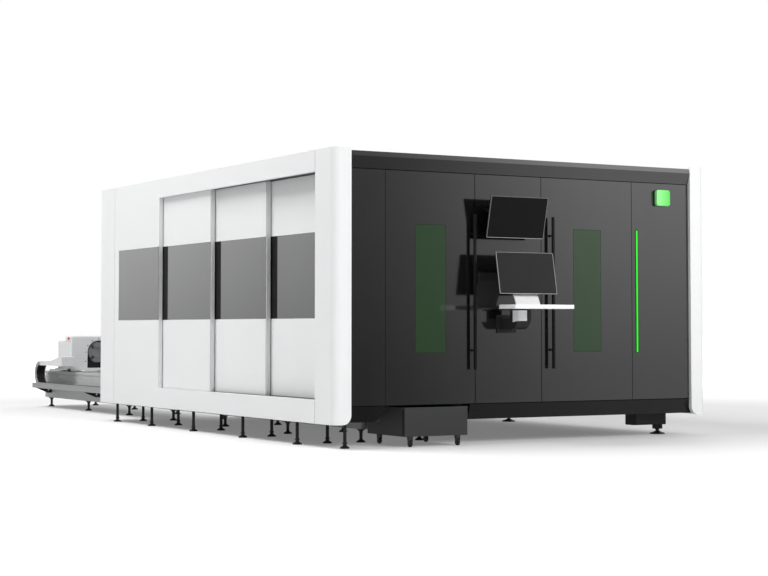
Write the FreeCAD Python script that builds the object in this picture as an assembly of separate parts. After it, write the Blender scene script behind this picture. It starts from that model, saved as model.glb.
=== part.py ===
"""Fiber laser cutting machine: an enclosed sheet cutting bed with a tube cutting unit along its left side.

Everything is drawn in machine coordinates, in millimetres: x runs right from the outer face of the left
wall, y runs back from the front plane of the corner posts, z runs up from the floor. The last step moves
each piece so that the origin is on the floor under the middle of the whole machine.
"""
import FreeCAD, Part
import math
import os

# ---- enclosure ---------------------------------------------------------------------------------------
ENCLOSURE_WIDTH = 3765.0
ENCLOSURE_LENGTH = 5200.0
ENCLOSURE_HEIGHT = 2400.0
WALL_BOTTOM = 194.0
WALL_THICKNESS = 38.0
SEAM = 6.0                       # gap between neighbouring cover panels
POST_FRONT_WIDTH = 163.0
POST_SIDE_LENGTH = 316.0
POST_RADIUS = 65.0
POST_LOWER_ROUND = 75.0
POST_UPPER_ROUND = 30.0
REAR_POST_WIDTH = 120.0
REAR_POST_LENGTH = 407.0
REAR_POST_RADIUS = 32.0
RIGHT_WALL_PANELS = 4
ROOF_PANELS = 4
ROOF_THICKNESS = 32.0
ROOF_DROP = 14.0                 # roof sheet below the top edge of the walls

# ---- left side: sliding doors ------------------------------------------------------------------------
FIXED_SIDE_LENGTH = 1600.0       # from the side opening back to the enclosure's rear
SIDE_OPENING_REAR = ENCLOSURE_LENGTH - FIXED_SIDE_LENGTH
SIDE_OPENING_LENGTH = SIDE_OPENING_REAR - POST_SIDE_LENGTH - SEAM
SIDE_OPENING_BOTTOM = 385.0
LEAF_BOTTOM = 386.0
SIDE_TOP_RAIL_HEIGHT = 175.0
SIDE_OPENING_TOP = ENCLOSURE_HEIGHT - SIDE_TOP_RAIL_HEIGHT
WINDOW_BOTTOM = 1040.0
WINDOW_TOP = 1750.0
FIXED_WINDOW_LENGTH = 1070.0
WINDOW_FRAME = 34.0              # dark frame left round each glass field
WINDOW_POCKET = 22.0             # depth of the field behind the outer glass face
LEAF_LENGTH = 0.36 * SIDE_OPENING_LENGTH
LEAF_THICKNESS = 36.0
LEAF_STEP = 45.0                 # each leaf runs one step further in than the one behind it
LEAF_SHARES = (0.3466, 0.327, 0.3264)    # share of the opening seen of the rear, middle and front leaf
LEAF_SHOWN = tuple(share * SIDE_OPENING_LENGTH for share in LEAF_SHARES)
LEAF_FIN = 12.0                  # thickness of the fins that run in the tracks
TRACK_GROOVE = 16.0
TRACK_HEIGHT = 34.0
TRACK_MARGIN = 7.0
FIN_DEPTH = 22.0
TRACK_GAP = 3.0                  # between a leaf's shoulder and the track
RUNNING_GAP = 0.3                # between a piece and what it runs on

# ---- dark front --------------------------------------------------------------------------------------
FRONT_RECESS = 30.0
PANEL_THICKNESS = 45.0
FRONT_TOP_HEIGHT = 160.0         # from the top of the doors to the enclosure's top
FRONT_TOP_SEAM = ENCLOSURE_HEIGHT - FRONT_TOP_HEIGHT
FRONT_BOTTOM_SEAM = 337.0
CAP_DROP = 20.0                  # how far the cap lies below the enclosure's top
CAP_TOP = ENCLOSURE_HEIGHT - CAP_DROP
CAP_FACET = 40.0
CAP_DEPTH = 110.0
SKIRT_BOTTOM = 208.0
SKIRT_SLOPE = 40.0               # how far the skirt's foot lies behind its top edge
SKIRT_ROUND = 100.0
LEFT_DOOR_START = 490.0
LEFT_DOOR_END = 1345.0
RIGHT_DOOR_INSET = 795.0         # from the right wall to the right door's hinge side
RIGHT_DOOR_WIDTH = 960.0
RIGHT_DOOR_END = ENCLOSURE_WIDTH - RIGHT_DOOR_INSET
RIGHT_DOOR_START = RIGHT_DOOR_END - RIGHT_DOOR_WIDTH
DOOR_WINDOW_WIDTH = 290.0
DOOR_WINDOW_BOTTOM = 760.0
DOOR_WINDOW_TOP = 1806.0
DOOR_WINDOW_THICKNESS = 10.0
DOOR_WINDOW_LEDGE = 12.0
LEFT_WINDOW_INSET = 280.0        # from the left edge of a door to its window
RIGHT_WINDOW_INSET = 335.0
LEFT_WINDOW_START = LEFT_DOOR_START + LEFT_WINDOW_INSET
RIGHT_WINDOW_START = RIGHT_DOOR_START + RIGHT_WINDOW_INSET
HINGE_BARREL = 5.0               # diameter of the hinge barrel, which lies inside the seam
HANDLE_BOTTOM = 620.0
HANDLE_TOP = 1900.0
HANDLE_WIDTH = 24.0
HANDLE_DEPTH = 22.0
HANDLE_STAND_OFF = 42.0
HANDLE_POST_INSET = 157.0
HANDLE_POST = 14.0
LEFT_HANDLE_INSET = 33.0
LEFT_HANDLE_X = LEFT_DOOR_END - LEFT_HANDLE_INSET
RIGHT_HANDLE_INSET = 88.0
RIGHT_HANDLE_X = RIGHT_DOOR_START + RIGHT_HANDLE_INSET
LIGHT_INSET = 40.0               # from the right door to the light strip
LIGHT_X = RIGHT_DOOR_END + LIGHT_INSET
LIGHT_WIDTH = 30.0
LIGHT_BOTTOM = 746.0
LIGHT_TOP = 1820.0
LIGHT_DEPTH = 14.0
LIGHT_PROUD = 3.0
TILE_INSET = 543.0               # from the right wall to the tile's left edge
TILE_X = ENCLOSURE_WIDTH - TILE_INSET
TILE_DROP = 202.0
TILE_BOTTOM = FRONT_TOP_SEAM - TILE_DROP
TILE_WIDTH = 148.0
TILE_HEIGHT = 142.0
TILE_THICKNESS = 42.0
TILE_ROUND = 22.0

# ---- base frame and feet -----------------------------------------------------------------------------
BASE_BOTTOM = 208.0
BASE_TOP = FRONT_BOTTOM_SEAM - SEAM / 2
BASE_RAIL_WIDTH = 80.0
FRONT_RAIL_DEPTH = 60.0
TROLLEY_BAY_START = 486.0
TROLLEY_BAY_END = 1293.0
TIE_WIDTH = 80.0
UPRIGHT_WIDTH = 60.0
UPRIGHT_DEPTH = 60.0
LEFT_CORNER_FOOT_X = 180.0
RIGHT_FEET_INSET = 165.0
RIGHT_FEET_X = ENCLOSURE_WIDTH - RIGHT_FEET_INSET
FOOT_STATIONS = tuple(share * ENCLOSURE_LENGTH for share in (0.15, 0.3538, 0.5625, 0.7596, 0.9385))
RIGHT_FOOT_STATIONS = tuple(share * ENCLOSURE_LENGTH for share in (0.0933, 0.5615, 0.9423))
FOOT_PAD_RADIUS = 39.0
FOOT_PAD_SIDES = 8
FOOT_PAD_OVERHANG = 10.0         # how far a pad sticks out past the tube bed's side
FOOT_ROD_SIDES = 6
FOOT_PAD_HEIGHT = 26.0
FOOT_ROD_RADIUS = 12.0

# ---- cutting bed and gantry --------------------------------------------------------------------------
BED_FRONT = 420.0
BED_REAR_INSET = 150.0
BED_REAR = ENCLOSURE_LENGTH - BED_REAR_INSET
BED_TOP = 960.0
BED_BEAM_WIDTH = 140.0
OUTRIGGER_WIDTH = 360.0          # low block that carries the front right foot
OUTRIGGER_BOTTOM = 88.0
RAIL_EDGE = 26.0                 # reach of the block past the foot pad
LEFT_BEAM_X = 290.0
RIGHT_BEAM_X = ENCLOSURE_WIDTH - WALL_THICKNESS - BASE_RAIL_WIDTH - BED_BEAM_WIDTH
INNER_BEAM_X = 1400.0
INNER_BEAM_WIDTH = 100.0
CROSS_BEAM_STATIONS = tuple(share * ENCLOSURE_LENGTH for share in (0.1346, 0.3462, 0.5577, 0.7692))
CROSS_BEAM_WIDTH = 120.0
CROSS_BEAM_BOTTOM = 500.0
TABLE_TOP = 700.0
SLAT_FRAME_HEIGHT = 60.0
SLAT_FRAME_BAR = 50.0
SLAT_FIELD_START = 760.0
SLAT_FIELD_REAR_INSET = 890.0
SLAT_FIELD_LENGTH = BED_REAR - SLAT_FIELD_START - SLAT_FIELD_REAR_INSET
SLAT_PITCH = 165.0
SLAT_HEIGHT = 90.0
SLAT_THICKNESS = 5.0
SLAT_TEETH = 7
SLAT_TOOTH_DEPTH = 22.0
RAIL_WIDTH = 34.0
RAIL_HEIGHT = 24.0
RAIL_WAIST = 4.0                 # how far each flank of a rail is hollowed
GANTRY_REST_INSET = 750.0        # how far before the bed's rear end the gantry rests
GANTRY_REST_Y = BED_REAR - GANTRY_REST_INSET
GANTRY_BEAM_DEPTH = 220.0
GANTRY_BEAM_BOTTOM = 1130.0
GANTRY_BEAM_HEIGHT = 280.0
GANTRY_END_LENGTH = 460.0
HEAD_REST_INSET = 1107.0         # how far left of the right beam the head rests
HEAD_REST_X = RIGHT_BEAM_X - HEAD_REST_INSET
HEAD_CARRIAGE_WIDTH = 300.0
HEAD_CARRIAGE_DEPTH = 110.0
HEAD_CARRIAGE_HEIGHT = 670.0
HEAD_CARRIAGE_BOTTOM = 1040.0
HEAD_COVER_BOTTOM = 1250.0
HEAD_PLATE = 40.0
HEAD_RADIUS = 52.0
CONE_RADIUS = 38.0
CONE_HEIGHT = 60.0
NOZZLE_RADIUS = 9.0
HEAD_HEIGHT = 236.0
BEAM_RAIL_DEPTH = 18.0
NOZZLE_TIP = 1010.0

# ---- tube unit ---------------------------------------------------------------------------------------
TUBE_BED_X = 640.0
TUBE_BED_WIDTH = 630.0
TUBE_BED_BOTTOM = 112.0
TUBE_BED_TOP = 438.0
TUBE_BED_FRONT = 700.0
TUBE_BED_REACH = 3620.0          # how far the tube bed runs out behind the enclosure
TUBE_BED_REAR = ENCLOSURE_LENGTH + TUBE_BED_REACH
TUBE_FOOT_SHARES = (0.0074, 0.1773, 0.3461, 0.5062, 0.6601, 0.819, 0.9803)
TUBE_FOOT_STATIONS = tuple(TUBE_BED_FRONT + share * (TUBE_BED_REAR - TUBE_BED_FRONT)
                           for share in TUBE_FOOT_SHARES)
TUBE_GROOVE_DROP = 39.0
TUBE_GROOVE_HEIGHT = 6.0
TUBE_GROOVE_DEPTH = 8.0
TUBE_END_POCKET = 40.0
TUBE_AXIS_X = TUBE_BED_X + TUBE_BED_WIDTH / 2
TUBE_AXIS_Z = 675.0
TUBE_RAIL_INSET = 58.0
TUBE_RAIL_WIDTH = 26.0
TUBE_RAIL_HEIGHT = 18.0
CARRIAGE_SIDE = 30.0             # how far carriage and housing stand over the tube bed's sides
HOUSING_WIDTH = TUBE_BED_WIDTH + 2 * CARRIAGE_SIDE
HOUSING_REST_INSET = 1010.0      # where the housing rests, before the tube bed's rear end
HOUSING_FRONT = TUBE_BED_REAR - HOUSING_REST_INSET
HOUSING_LENGTH = 200.0
HOUSING_BOTTOM = 476.0
HOUSING_TOP = 868.0
HOUSING_EDGE = 14.0
ARCH_RADIUS = 138.0
ARCH_DEPTH = 130.0
CHUCK_RADIUS = 125.0
CHUCK_BORE_RADIUS = 62.0
CHUCK_SHAFT_RADIUS = 90.0
COVER_WIDTH = 640.0
COVER_LENGTH = 345.0
COVER_TOP = 815.0
FRONT_CHUCK_Y = 1500.0
FRONT_CHUCK_LENGTH = 320.0
CARRIAGE_OVERHANG = 20.0
SADDLE_LENGTH = 110.0
ESTOP_INSET = 40.0
ESTOP_Y = HOUSING_FRONT + ESTOP_INSET
ESTOP_DROP = 30.0
ESTOP_Z = HOUSING_TOP - ESTOP_DROP
ESTOP_RADIUS = 16.0
ESTOP_SEAT = 8.0
ESTOP_TRAVEL = 6.0
ESTOP_HEAD = 13.0                # height of the mushroom head
ESTOP_STEM = 22.0
CHAIN_X = 470.0
CHAIN_WIDTH = 120.0
CHAIN_LOOP_INSET = 245.0
CHAIN_CENTRE_Y = TUBE_BED_REAR - CHAIN_LOOP_INSET
CHAIN_CENTRE_Z = 406.0
CHAIN_OUTER_RADIUS = 151.0
CHAIN_LINK_HEIGHT = 46.0
CHAIN_LINK = 100.0
CHAIN_FIXED_REACH = 560.0        # how far behind the enclosure the chain is held
CHAIN_FIXED_END_Y = ENCLOSURE_LENGTH + CHAIN_FIXED_REACH
CHAIN_ARM_REACH = 663.0          # from the housing's front to the arm's rear end
CHAIN_ARM_REAR = HOUSING_FRONT + CHAIN_ARM_REACH
CHAIN_ARM_NOSE = 136.0
CHAIN_ARM_FRONT = HOUSING_FRONT - CHAIN_ARM_NOSE
CHAIN_ARM_STEP = 380.0           # length of the arm's low rear part
TRAY_X = 440.0
TRAY_START_INSET = 2300.0        # how far inside the enclosure the tray starts
TRAY_FRONT = ENCLOSURE_LENGTH - TRAY_START_INSET
TRAY_END_INSET = 96.0
TRAY_REAR = TUBE_BED_REAR - TRAY_END_INSET
TRAY_SHEET = 5.0
TRAY_LIP_TOP = 290.0
TRAY_LIP_BOTTOM = 236.0
GUSSET_PITCH = 1680.0
FIRST_GUSSET_INSET = 144.0
GUSSET_STATIONS = tuple(TRAY_REAR - FIRST_GUSSET_INSET - GUSSET_PITCH * i for i in range(4))
GUSSET_THICKNESS = 8.0
GUSSET_DROP = 62.0
GUSSET_FOOT = 50.0
GUSSET_HOLE_RADIUS = 9.0
TUBE_PASSAGE_START = 420.0
TUBE_PASSAGE_END = 1340.0
TUBE_PASSAGE_TOP = 920.0

# ---- cabinets inside ---------------------------------------------------------------------------------
CABINET_GAP = 10.0
CABINET_DEPTH = 260.0
CABINET_HEADROOM = 40.0
CABINET_TOP = FRONT_TOP_SEAM - CABINET_HEADROOM
SOURCE_WIDTH = 950.0
SOURCE_SIDE_GAP = 57.0
SOURCE_X = RIGHT_BEAM_X - SOURCE_SIDE_GAP - SOURCE_WIDTH
SOURCE_DEPTH = 350.0
SOURCE_TOP = 1000.0
SOURCE_MARGIN = 120.0            # plain face above and below the cooling slots
SOURCE_SLOTS = 8
SOURCE_SLOT_GAP = 40.0

# ---- console -----------------------------------------------------------------------------------------
CONSOLE_OFFSET = 27.5            # how far left of the doors' middle the console stands
CONSOLE_X = (LEFT_DOOR_END + RIGHT_DOOR_START) / 2 - CONSOLE_OFFSET
CONSOLE_SWIVEL_Y = -190.0
TRAY_TABLE_WIDTH = 580.0
TRAY_TABLE_FRONT = -550.0
TRAY_TABLE_DEPTH = 250.0
TRAY_TABLE_BOTTOM = 1117.0
TRAY_TABLE_HEIGHT = 33.0
TRAY_TABLE_FLOOR = 8.0
NECK_WIDTH = 237.0
NECK_THICKNESS = 8.0
ARM_WIDTH = 130.0
ARM_BOTTOM = 950.0
ARM_DEPTH = 90.0
SWIVEL_LIFT = 5.0                # arm's top below the table's underside
MONITOR_WIDTH = 565.0
MONITOR_HEIGHT = 348.0
MONITOR_THICKNESS = 30.0
MONITOR_BEZEL = 7.0
MONITOR_ROUND = 6.0
LOWER_MONITOR_Y = -282.0         # middle of the screen face
LOWER_MONITOR_Z = 1412.0
LOWER_MONITOR_TILT = 10.6        # leans back
UPPER_MONITOR_Y = -152.0
UPPER_MONITOR_Z = 1876.0
UPPER_MONITOR_TILT = -13.2       # leans forward
HINGE_RADIUS = 9.0
HINGE_EAR = 13.0
HINGE_DISTANCE = 34.0            # hinge axis behind the monitor's back

# ---- scrap trolley -----------------------------------------------------------------------------------
TROLLEY_X = 640.0
TROLLEY_WIDTH = 600.0
TROLLEY_FRONT = -20.0
TROLLEY_LENGTH = 620.0
TROLLEY_BOTTOM = 86.0
TROLLEY_TOP = 320.0
TROLLEY_SHEET = 4.0
TROLLEY_RIM = 18.0
WHEEL_RADIUS = 29.0
WHEEL_WIDTH = 22.0
AXLE_RADIUS = 5.0
CASTER_INSET_X = 75.0
CASTER_FRONT_Y = 22.0
CASTER_REAR_Y = 525.0
CASTER_TRAIL = 20.0
FORK_SHEET = 3.0
FORK_GAP = 1.5                   # between the wheel and each cheek
FORK_HEADROOM = 6.0
FORK_PLATE = 40.0

REACH_TO_FRONT = -TRAY_TABLE_FRONT
OVERALL_LENGTH = REACH_TO_FRONT + TUBE_BED_REAR
SHIFT = FreeCAD.Vector(-ENCLOSURE_WIDTH / 2, REACH_TO_FRONT - OVERALL_LENGTH / 2, 0)

V = FreeCAD.Vector
X_AXIS = V(1, 0, 0)
Y_AXIS = V(0, 1, 0)
Z_AXIS = V(0, 0, 1)


# ---- drawing helpers ---------------------------------------------------------------------------------
def block(x0, x1, y0, y1, z0, z1):
    """Box between two corners."""
    return Part.makeBox(x1 - x0, y1 - y0, z1 - z0, V(x0, y0, z0))


def rod(radius, start, direction, length):
    """Round bar from a start point along a direction."""
    return Part.makeCylinder(radius, length, start, direction)


def extrude_yz(outline, x0, x1):
    """Prism along x from an outline of (y, z) points."""
    points = [V(x0, y, z) for y, z in outline]
    return Part.Face(Part.makePolygon(points + points[:1])).extrude(V(x1 - x0, 0, 0))


def extrude_xy(outline, z0, z1):
    """Prism along z from an outline of (x, y) points."""
    points = [V(x, y, z0) for x, y in outline]
    return Part.Face(Part.makePolygon(points + points[:1])).extrude(V(0, 0, z1 - z0))


def extrude_xz(outline, y0, y1):
    """Prism along y from an outline of (x, z) points."""
    points = [V(x, y0, z) for x, z in outline]
    return Part.Face(Part.makePolygon(points + points[:1])).extrude(V(0, y1 - y0, 0))


def chosen_edges(shape, wanted):
    """Edges whose middle point passes the test."""
    edges = []
    for edge in shape.Edges:
        middle = edge.valueAt((edge.FirstParameter + edge.LastParameter) / 2)
        if wanted(middle):
            edges.append(edge)
    return edges


def round_edges(shape, radius, wanted):
    return shape.makeFillet(radius, chosen_edges(shape, wanted))


def bevel_edges(shape, width, wanted):
    return shape.makeChamfer(width, chosen_edges(shape, wanted))


def near(value, target):
    return abs(value - target) < 0.5


def one_solid(shape):
    """Fuse result without leftover seams, as a single solid."""
    return shape.removeSplitter()


def group(shapes):
    """Separate solids kept together as one piece list."""
    solids = []
    for shape in shapes:
        solids.extend(shape.Solids)
    return Part.makeCompound(solids)


def mirrored(shape):
    """The same piece on the other side of the enclosure."""
    return shape.mirror(V(ENCLOSURE_WIDTH / 2, 0, 0), X_AXIS)


def rows(start, end, count, gap):
    """Start and end of equal fields with a gap between them."""
    pitch = (end - start + gap) / count
    return [(start + i * pitch, start + (i + 1) * pitch - gap) for i in range(count)]


# ---- enclosure ---------------------------------------------------------------------------------------
def bent_post(width, length, radius, sheet):
    """Corner post seen from above: front flange, round corner and side flange of one bent wall."""
    slant = math.sqrt(0.5)
    inner = radius - sheet
    outer_mid = V(radius - radius * slant, radius - radius * slant, 0)
    edges = [Part.makeLine(V(width, 0, 0), V(radius, 0, 0)),
             Part.Arc(V(radius, 0, 0), outer_mid, V(0, radius, 0)).toShape(),
             Part.makeLine(V(0, radius, 0), V(0, length, 0)),
             Part.makeLine(V(0, length, 0), V(sheet, length, 0))]
    if inner > 1:
        inner_mid = V(radius - inner * slant, radius - inner * slant, 0)
        edges.append(Part.makeLine(V(sheet, length, 0), V(sheet, radius, 0)))
        edges.append(Part.Arc(V(sheet, radius, 0), inner_mid, V(radius, sheet, 0)).toShape())
        edges.append(Part.makeLine(V(radius, sheet, 0), V(width, sheet, 0)))
    else:
        edges.append(Part.makeLine(V(sheet, length, 0), V(sheet, sheet, 0)))
        edges.append(Part.makeLine(V(sheet, sheet, 0), V(width, sheet, 0)))
    edges.append(Part.makeLine(V(width, sheet, 0), V(width, 0, 0)))
    post = Part.Face(Part.Wire(edges)).extrude(V(0, 0, ENCLOSURE_HEIGHT - WALL_BOTTOM))
    post.translate(V(0, 0, WALL_BOTTOM))
    return post


def corner_posts():
    """Four white corner posts; the front flanges have their free corners rounded off."""
    front = bent_post(POST_FRONT_WIDTH, POST_SIDE_LENGTH, POST_RADIUS, WALL_THICKNESS)
    front = round_edges(front, POST_LOWER_ROUND,
                        lambda p: near(p.x, POST_FRONT_WIDTH) and near(p.z, WALL_BOTTOM))
    front = round_edges(front, POST_UPPER_ROUND,
                        lambda p: near(p.x, POST_FRONT_WIDTH) and near(p.z, ENCLOSURE_HEIGHT))
    rear = bent_post(REAR_POST_WIDTH, REAR_POST_LENGTH, REAR_POST_RADIUS, WALL_THICKNESS)
    rear = rear.mirror(V(0, ENCLOSURE_LENGTH / 2, 0), Y_AXIS)
    return group([front, mirrored(front), rear, mirrored(rear)])


def side_rails():
    """White rails over and under the sliding doors' opening."""
    start = POST_SIDE_LENGTH + SEAM
    return group([
        block(0, WALL_THICKNESS, start, SIDE_OPENING_REAR, SIDE_OPENING_TOP, ENCLOSURE_HEIGHT),
        block(0, WALL_THICKNESS, start, SIDE_OPENING_REAR, WALL_BOTTOM, SIDE_OPENING_BOTTOM)])


def fixed_side_panel():
    """Fixed white panel behind the opening, cut away where its window band sits."""
    end = ENCLOSURE_LENGTH - REAR_POST_LENGTH - SEAM
    panel = block(0, WALL_THICKNESS, SIDE_OPENING_REAR, end, WALL_BOTTOM, ENCLOSURE_HEIGHT)
    window_end = SIDE_OPENING_REAR + FIXED_WINDOW_LENGTH
    return panel.cut(block(-1, WALL_THICKNESS + 1, SIDE_OPENING_REAR - 1, window_end,
                           WINDOW_BOTTOM, WINDOW_TOP))


def window_band(x, thickness, y0, y1):
    """Framed dark glass: flush glass face outside, stepped frame round the field inside."""
    band = block(x, x + thickness, y0, y1, WINDOW_BOTTOM, WINDOW_TOP)
    field = block(x + thickness - WINDOW_POCKET, x + thickness + 1, y0 + WINDOW_FRAME, y1 - WINDOW_FRAME,
                  WINDOW_BOTTOM + WINDOW_FRAME, WINDOW_TOP - WINDOW_FRAME)
    return band.cut(field)


def fixed_side_glass():
    return window_band(0, WALL_THICKNESS, SIDE_OPENING_REAR, SIDE_OPENING_REAR + FIXED_WINDOW_LENGTH)


def right_wall_panels():
    """Plain white wall panels between the right posts."""
    outer = ENCLOSURE_WIDTH
    start = POST_SIDE_LENGTH + SEAM
    end = ENCLOSURE_LENGTH - REAR_POST_LENGTH - SEAM
    fields = rows(start, end, RIGHT_WALL_PANELS, SEAM)
    return group([block(outer - WALL_THICKNESS, outer, y0, y1, WALL_BOTTOM, ENCLOSURE_HEIGHT)
                  for y0, y1 in fields])


def rear_wall_panels():
    """Plain rear wall, open at the left where the tube unit passes through."""
    y0 = ENCLOSURE_LENGTH - WALL_THICKNESS
    y1 = ENCLOSURE_LENGTH
    left = REAR_POST_WIDTH + SEAM
    right = ENCLOSURE_WIDTH - REAR_POST_WIDTH - SEAM
    panels = [block(left, TUBE_PASSAGE_START, y0, y1, WALL_BOTTOM, ENCLOSURE_HEIGHT),
              block(TUBE_PASSAGE_START + SEAM, TUBE_PASSAGE_END - SEAM, y0, y1,
                    TUBE_PASSAGE_TOP, ENCLOSURE_HEIGHT)]
    for x0, x1 in rows(TUBE_PASSAGE_END, right, 2, SEAM):
        panels.append(block(x0, x1, y0, y1, WALL_BOTTOM, ENCLOSURE_HEIGHT))
    return group(panels)


def roof_panels():
    """Roof sheets laid between the walls, just below their top edge."""
    top = ENCLOSURE_HEIGHT - ROOF_DROP
    fields = rows(CAP_DEPTH, ENCLOSURE_LENGTH - WALL_THICKNESS, ROOF_PANELS, SEAM)
    return group([block(WALL_THICKNESS, ENCLOSURE_WIDTH - WALL_THICKNESS, y0, y1, top - ROOF_THICKNESS, top)
                  for y0, y1 in fields])


# ---- sliding side doors ------------------------------------------------------------------------------
def leaf_place(number):
    """x and front end of a leaf: 1 is the rear leaf, 3 the front leaf."""
    return LEAF_STEP * number, SIDE_OPENING_REAR - sum(LEAF_SHOWN[:number])


def side_leaf(number):
    """White upper and lower halves of a leaf, each with the fin that runs in its track."""
    x, y = leaf_place(number)
    fin_x = x + (LEAF_THICKNESS - LEAF_FIN) / 2
    top = SIDE_OPENING_TOP
    bottom = LEAF_BOTTOM
    upper = block(x, x + LEAF_THICKNESS, y, y + LEAF_LENGTH, WINDOW_TOP, top)
    upper_fin = block(fin_x, fin_x + LEAF_FIN, y, y + LEAF_LENGTH, top, top + FIN_DEPTH)
    lower = block(x, x + LEAF_THICKNESS, y, y + LEAF_LENGTH, bottom, WINDOW_BOTTOM)
    lower_fin = block(fin_x, fin_x + LEAF_FIN, y, y + LEAF_LENGTH, bottom - FIN_DEPTH, bottom)
    return group([one_solid(upper.fuse(upper_fin)), one_solid(lower.fuse(lower_fin))])


def side_leaf_glass(number):
    x, y = leaf_place(number)
    return window_band(x, LEAF_THICKNESS, y, y + LEAF_LENGTH)


def side_door_tracks():
    """Grooved bars over and under the leaves; each leaf's fin runs in its own groove."""
    x0 = LEAF_STEP - TRACK_MARGIN
    x1 = LEAF_STEP * len(LEAF_SHOWN) + LEAF_THICKNESS + TRACK_MARGIN
    y0 = POST_SIDE_LENGTH
    y1 = ENCLOSURE_LENGTH - REAR_POST_LENGTH
    floor = LEAF_BOTTOM - FIN_DEPTH - RUNNING_GAP
    upper_start = SIDE_OPENING_TOP + TRACK_GAP
    upper = block(x0, x1, y0, y1, upper_start, upper_start + TRACK_HEIGHT)
    lower = block(x0, x1, y0, y1, LEAF_BOTTOM - TRACK_GAP - TRACK_HEIGHT, LEAF_BOTTOM - TRACK_GAP)
    for number in range(1, len(LEAF_SHOWN) + 1):
        middle = LEAF_STEP * number + LEAF_THICKNESS / 2
        g0 = middle - TRACK_GROOVE / 2
        g1 = middle + TRACK_GROOVE / 2
        upper = upper.cut(block(g0, g1, y0 - 1, y1 + 1, upper_start - 1,
                                SIDE_OPENING_TOP + FIN_DEPTH + TRACK_GAP))
        lower = lower.cut(block(g0, g1, y0 - 1, y1 + 1, floor, LEAF_BOTTOM))
    return group([upper, lower])


# ---- dark front --------------------------------------------------------------------------------------
def front_cap():
    """Dark cap over the front panels: it leans forward to the posts and ends in a small facet."""
    x0 = POST_FRONT_WIDTH + SEAM / 2
    outline = [(FRONT_RECESS, FRONT_TOP_SEAM + SEAM / 2), (0, CAP_TOP - CAP_FACET), (CAP_FACET / 4, CAP_TOP),
               (CAP_DEPTH, CAP_TOP), (CAP_DEPTH, FRONT_TOP_SEAM + SEAM / 2)]
    return extrude_yz(outline, x0, ENCLOSURE_WIDTH - x0)


def front_skirts():
    """Dark skirts under the front, either side of the trolley bay, with their faces raked back."""
    top = FRONT_BOTTOM_SEAM - SEAM / 2
    outline = [(FRONT_RECESS, top), (FRONT_RECESS + SKIRT_SLOPE, SKIRT_BOTTOM), (CAP_DEPTH, SKIRT_BOTTOM),
               (CAP_DEPTH, top)]
    edge = POST_FRONT_WIDTH + SEAM / 2
    left = extrude_yz(outline, edge, TROLLEY_BAY_START)
    left = round_edges(left, SKIRT_ROUND,
                       lambda p: near(p.x, TROLLEY_BAY_START) and near(p.z, SKIRT_BOTTOM))
    right = extrude_yz(outline, TROLLEY_BAY_END, ENCLOSURE_WIDTH - edge)
    return group([left, right])


def front_field(x0, x1):
    """Flat front panel between two seams."""
    return block(x0, x1, FRONT_RECESS, FRONT_RECESS + PANEL_THICKNESS,
                 FRONT_BOTTOM_SEAM + SEAM / 2, FRONT_TOP_SEAM - SEAM / 2)


def front_fixed_panels():
    """Fixed dark panels: at the left post, between the doors, and at the right with a slot for the light."""
    left = front_field(POST_FRONT_WIDTH + SEAM / 2, LEFT_DOOR_START - SEAM / 2)
    middle = front_field(LEFT_DOOR_END + SEAM / 2, RIGHT_DOOR_START - SEAM / 2)
    right = front_field(RIGHT_DOOR_END + SEAM / 2, ENCLOSURE_WIDTH - POST_FRONT_WIDTH - SEAM / 2)
    slot = block(LIGHT_X, LIGHT_X + LIGHT_WIDTH, FRONT_RECESS - 1, FRONT_RECESS + LIGHT_DEPTH,
                 LIGHT_BOTTOM, LIGHT_TOP)
    return group([left, middle, right.cut(slot)])


def status_light():
    """Light strip set in the right panel, standing slightly proud with rounded front edges."""
    strip = block(LIGHT_X, LIGHT_X + LIGHT_WIDTH, FRONT_RECESS - LIGHT_PROUD, FRONT_RECESS + LIGHT_DEPTH,
                  LIGHT_BOTTOM, LIGHT_TOP)
    return round_edges(strip, LIGHT_PROUD - 0.5, lambda p: near(p.y, FRONT_RECESS - LIGHT_PROUD))


def front_tile():
    """Plain square tile with rounded corners, mounted on the right panel."""
    tile = block(TILE_X, TILE_X + TILE_WIDTH, FRONT_RECESS - TILE_THICKNESS, FRONT_RECESS,
                 TILE_BOTTOM, TILE_BOTTOM + TILE_HEIGHT)
    corners_x = (TILE_X, TILE_X + TILE_WIDTH)
    return tile.makeFillet(TILE_ROUND, [
        edge for edge in tile.Edges
        if near(edge.CenterOfMass.y, FRONT_RECESS - TILE_THICKNESS / 2)
        and min(abs(edge.CenterOfMass.x - x) for x in corners_x) < 0.5])


def door_panel(x0, x1, window_x):
    """Front door leaf with a stepped opening for its window pane."""
    door = front_field(x0 + SEAM / 2, x1 - SEAM / 2)
    pane = block(window_x, window_x + DOOR_WINDOW_WIDTH, FRONT_RECESS - 1,
                 FRONT_RECESS + DOOR_WINDOW_THICKNESS, DOOR_WINDOW_BOTTOM, DOOR_WINDOW_TOP)
    sight = block(window_x + DOOR_WINDOW_LEDGE, window_x + DOOR_WINDOW_WIDTH - DOOR_WINDOW_LEDGE,
                  FRONT_RECESS - 1, FRONT_RECESS + PANEL_THICKNESS + 1,
                  DOOR_WINDOW_BOTTOM + DOOR_WINDOW_LEDGE, DOOR_WINDOW_TOP - DOOR_WINDOW_LEDGE)
    return door.cut(pane).cut(sight)


def door_window(window_x):
    return block(window_x, window_x + DOOR_WINDOW_WIDTH, FRONT_RECESS, FRONT_RECESS + DOOR_WINDOW_THICKNESS,
                 DOOR_WINDOW_BOTTOM, DOOR_WINDOW_TOP)


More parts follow.
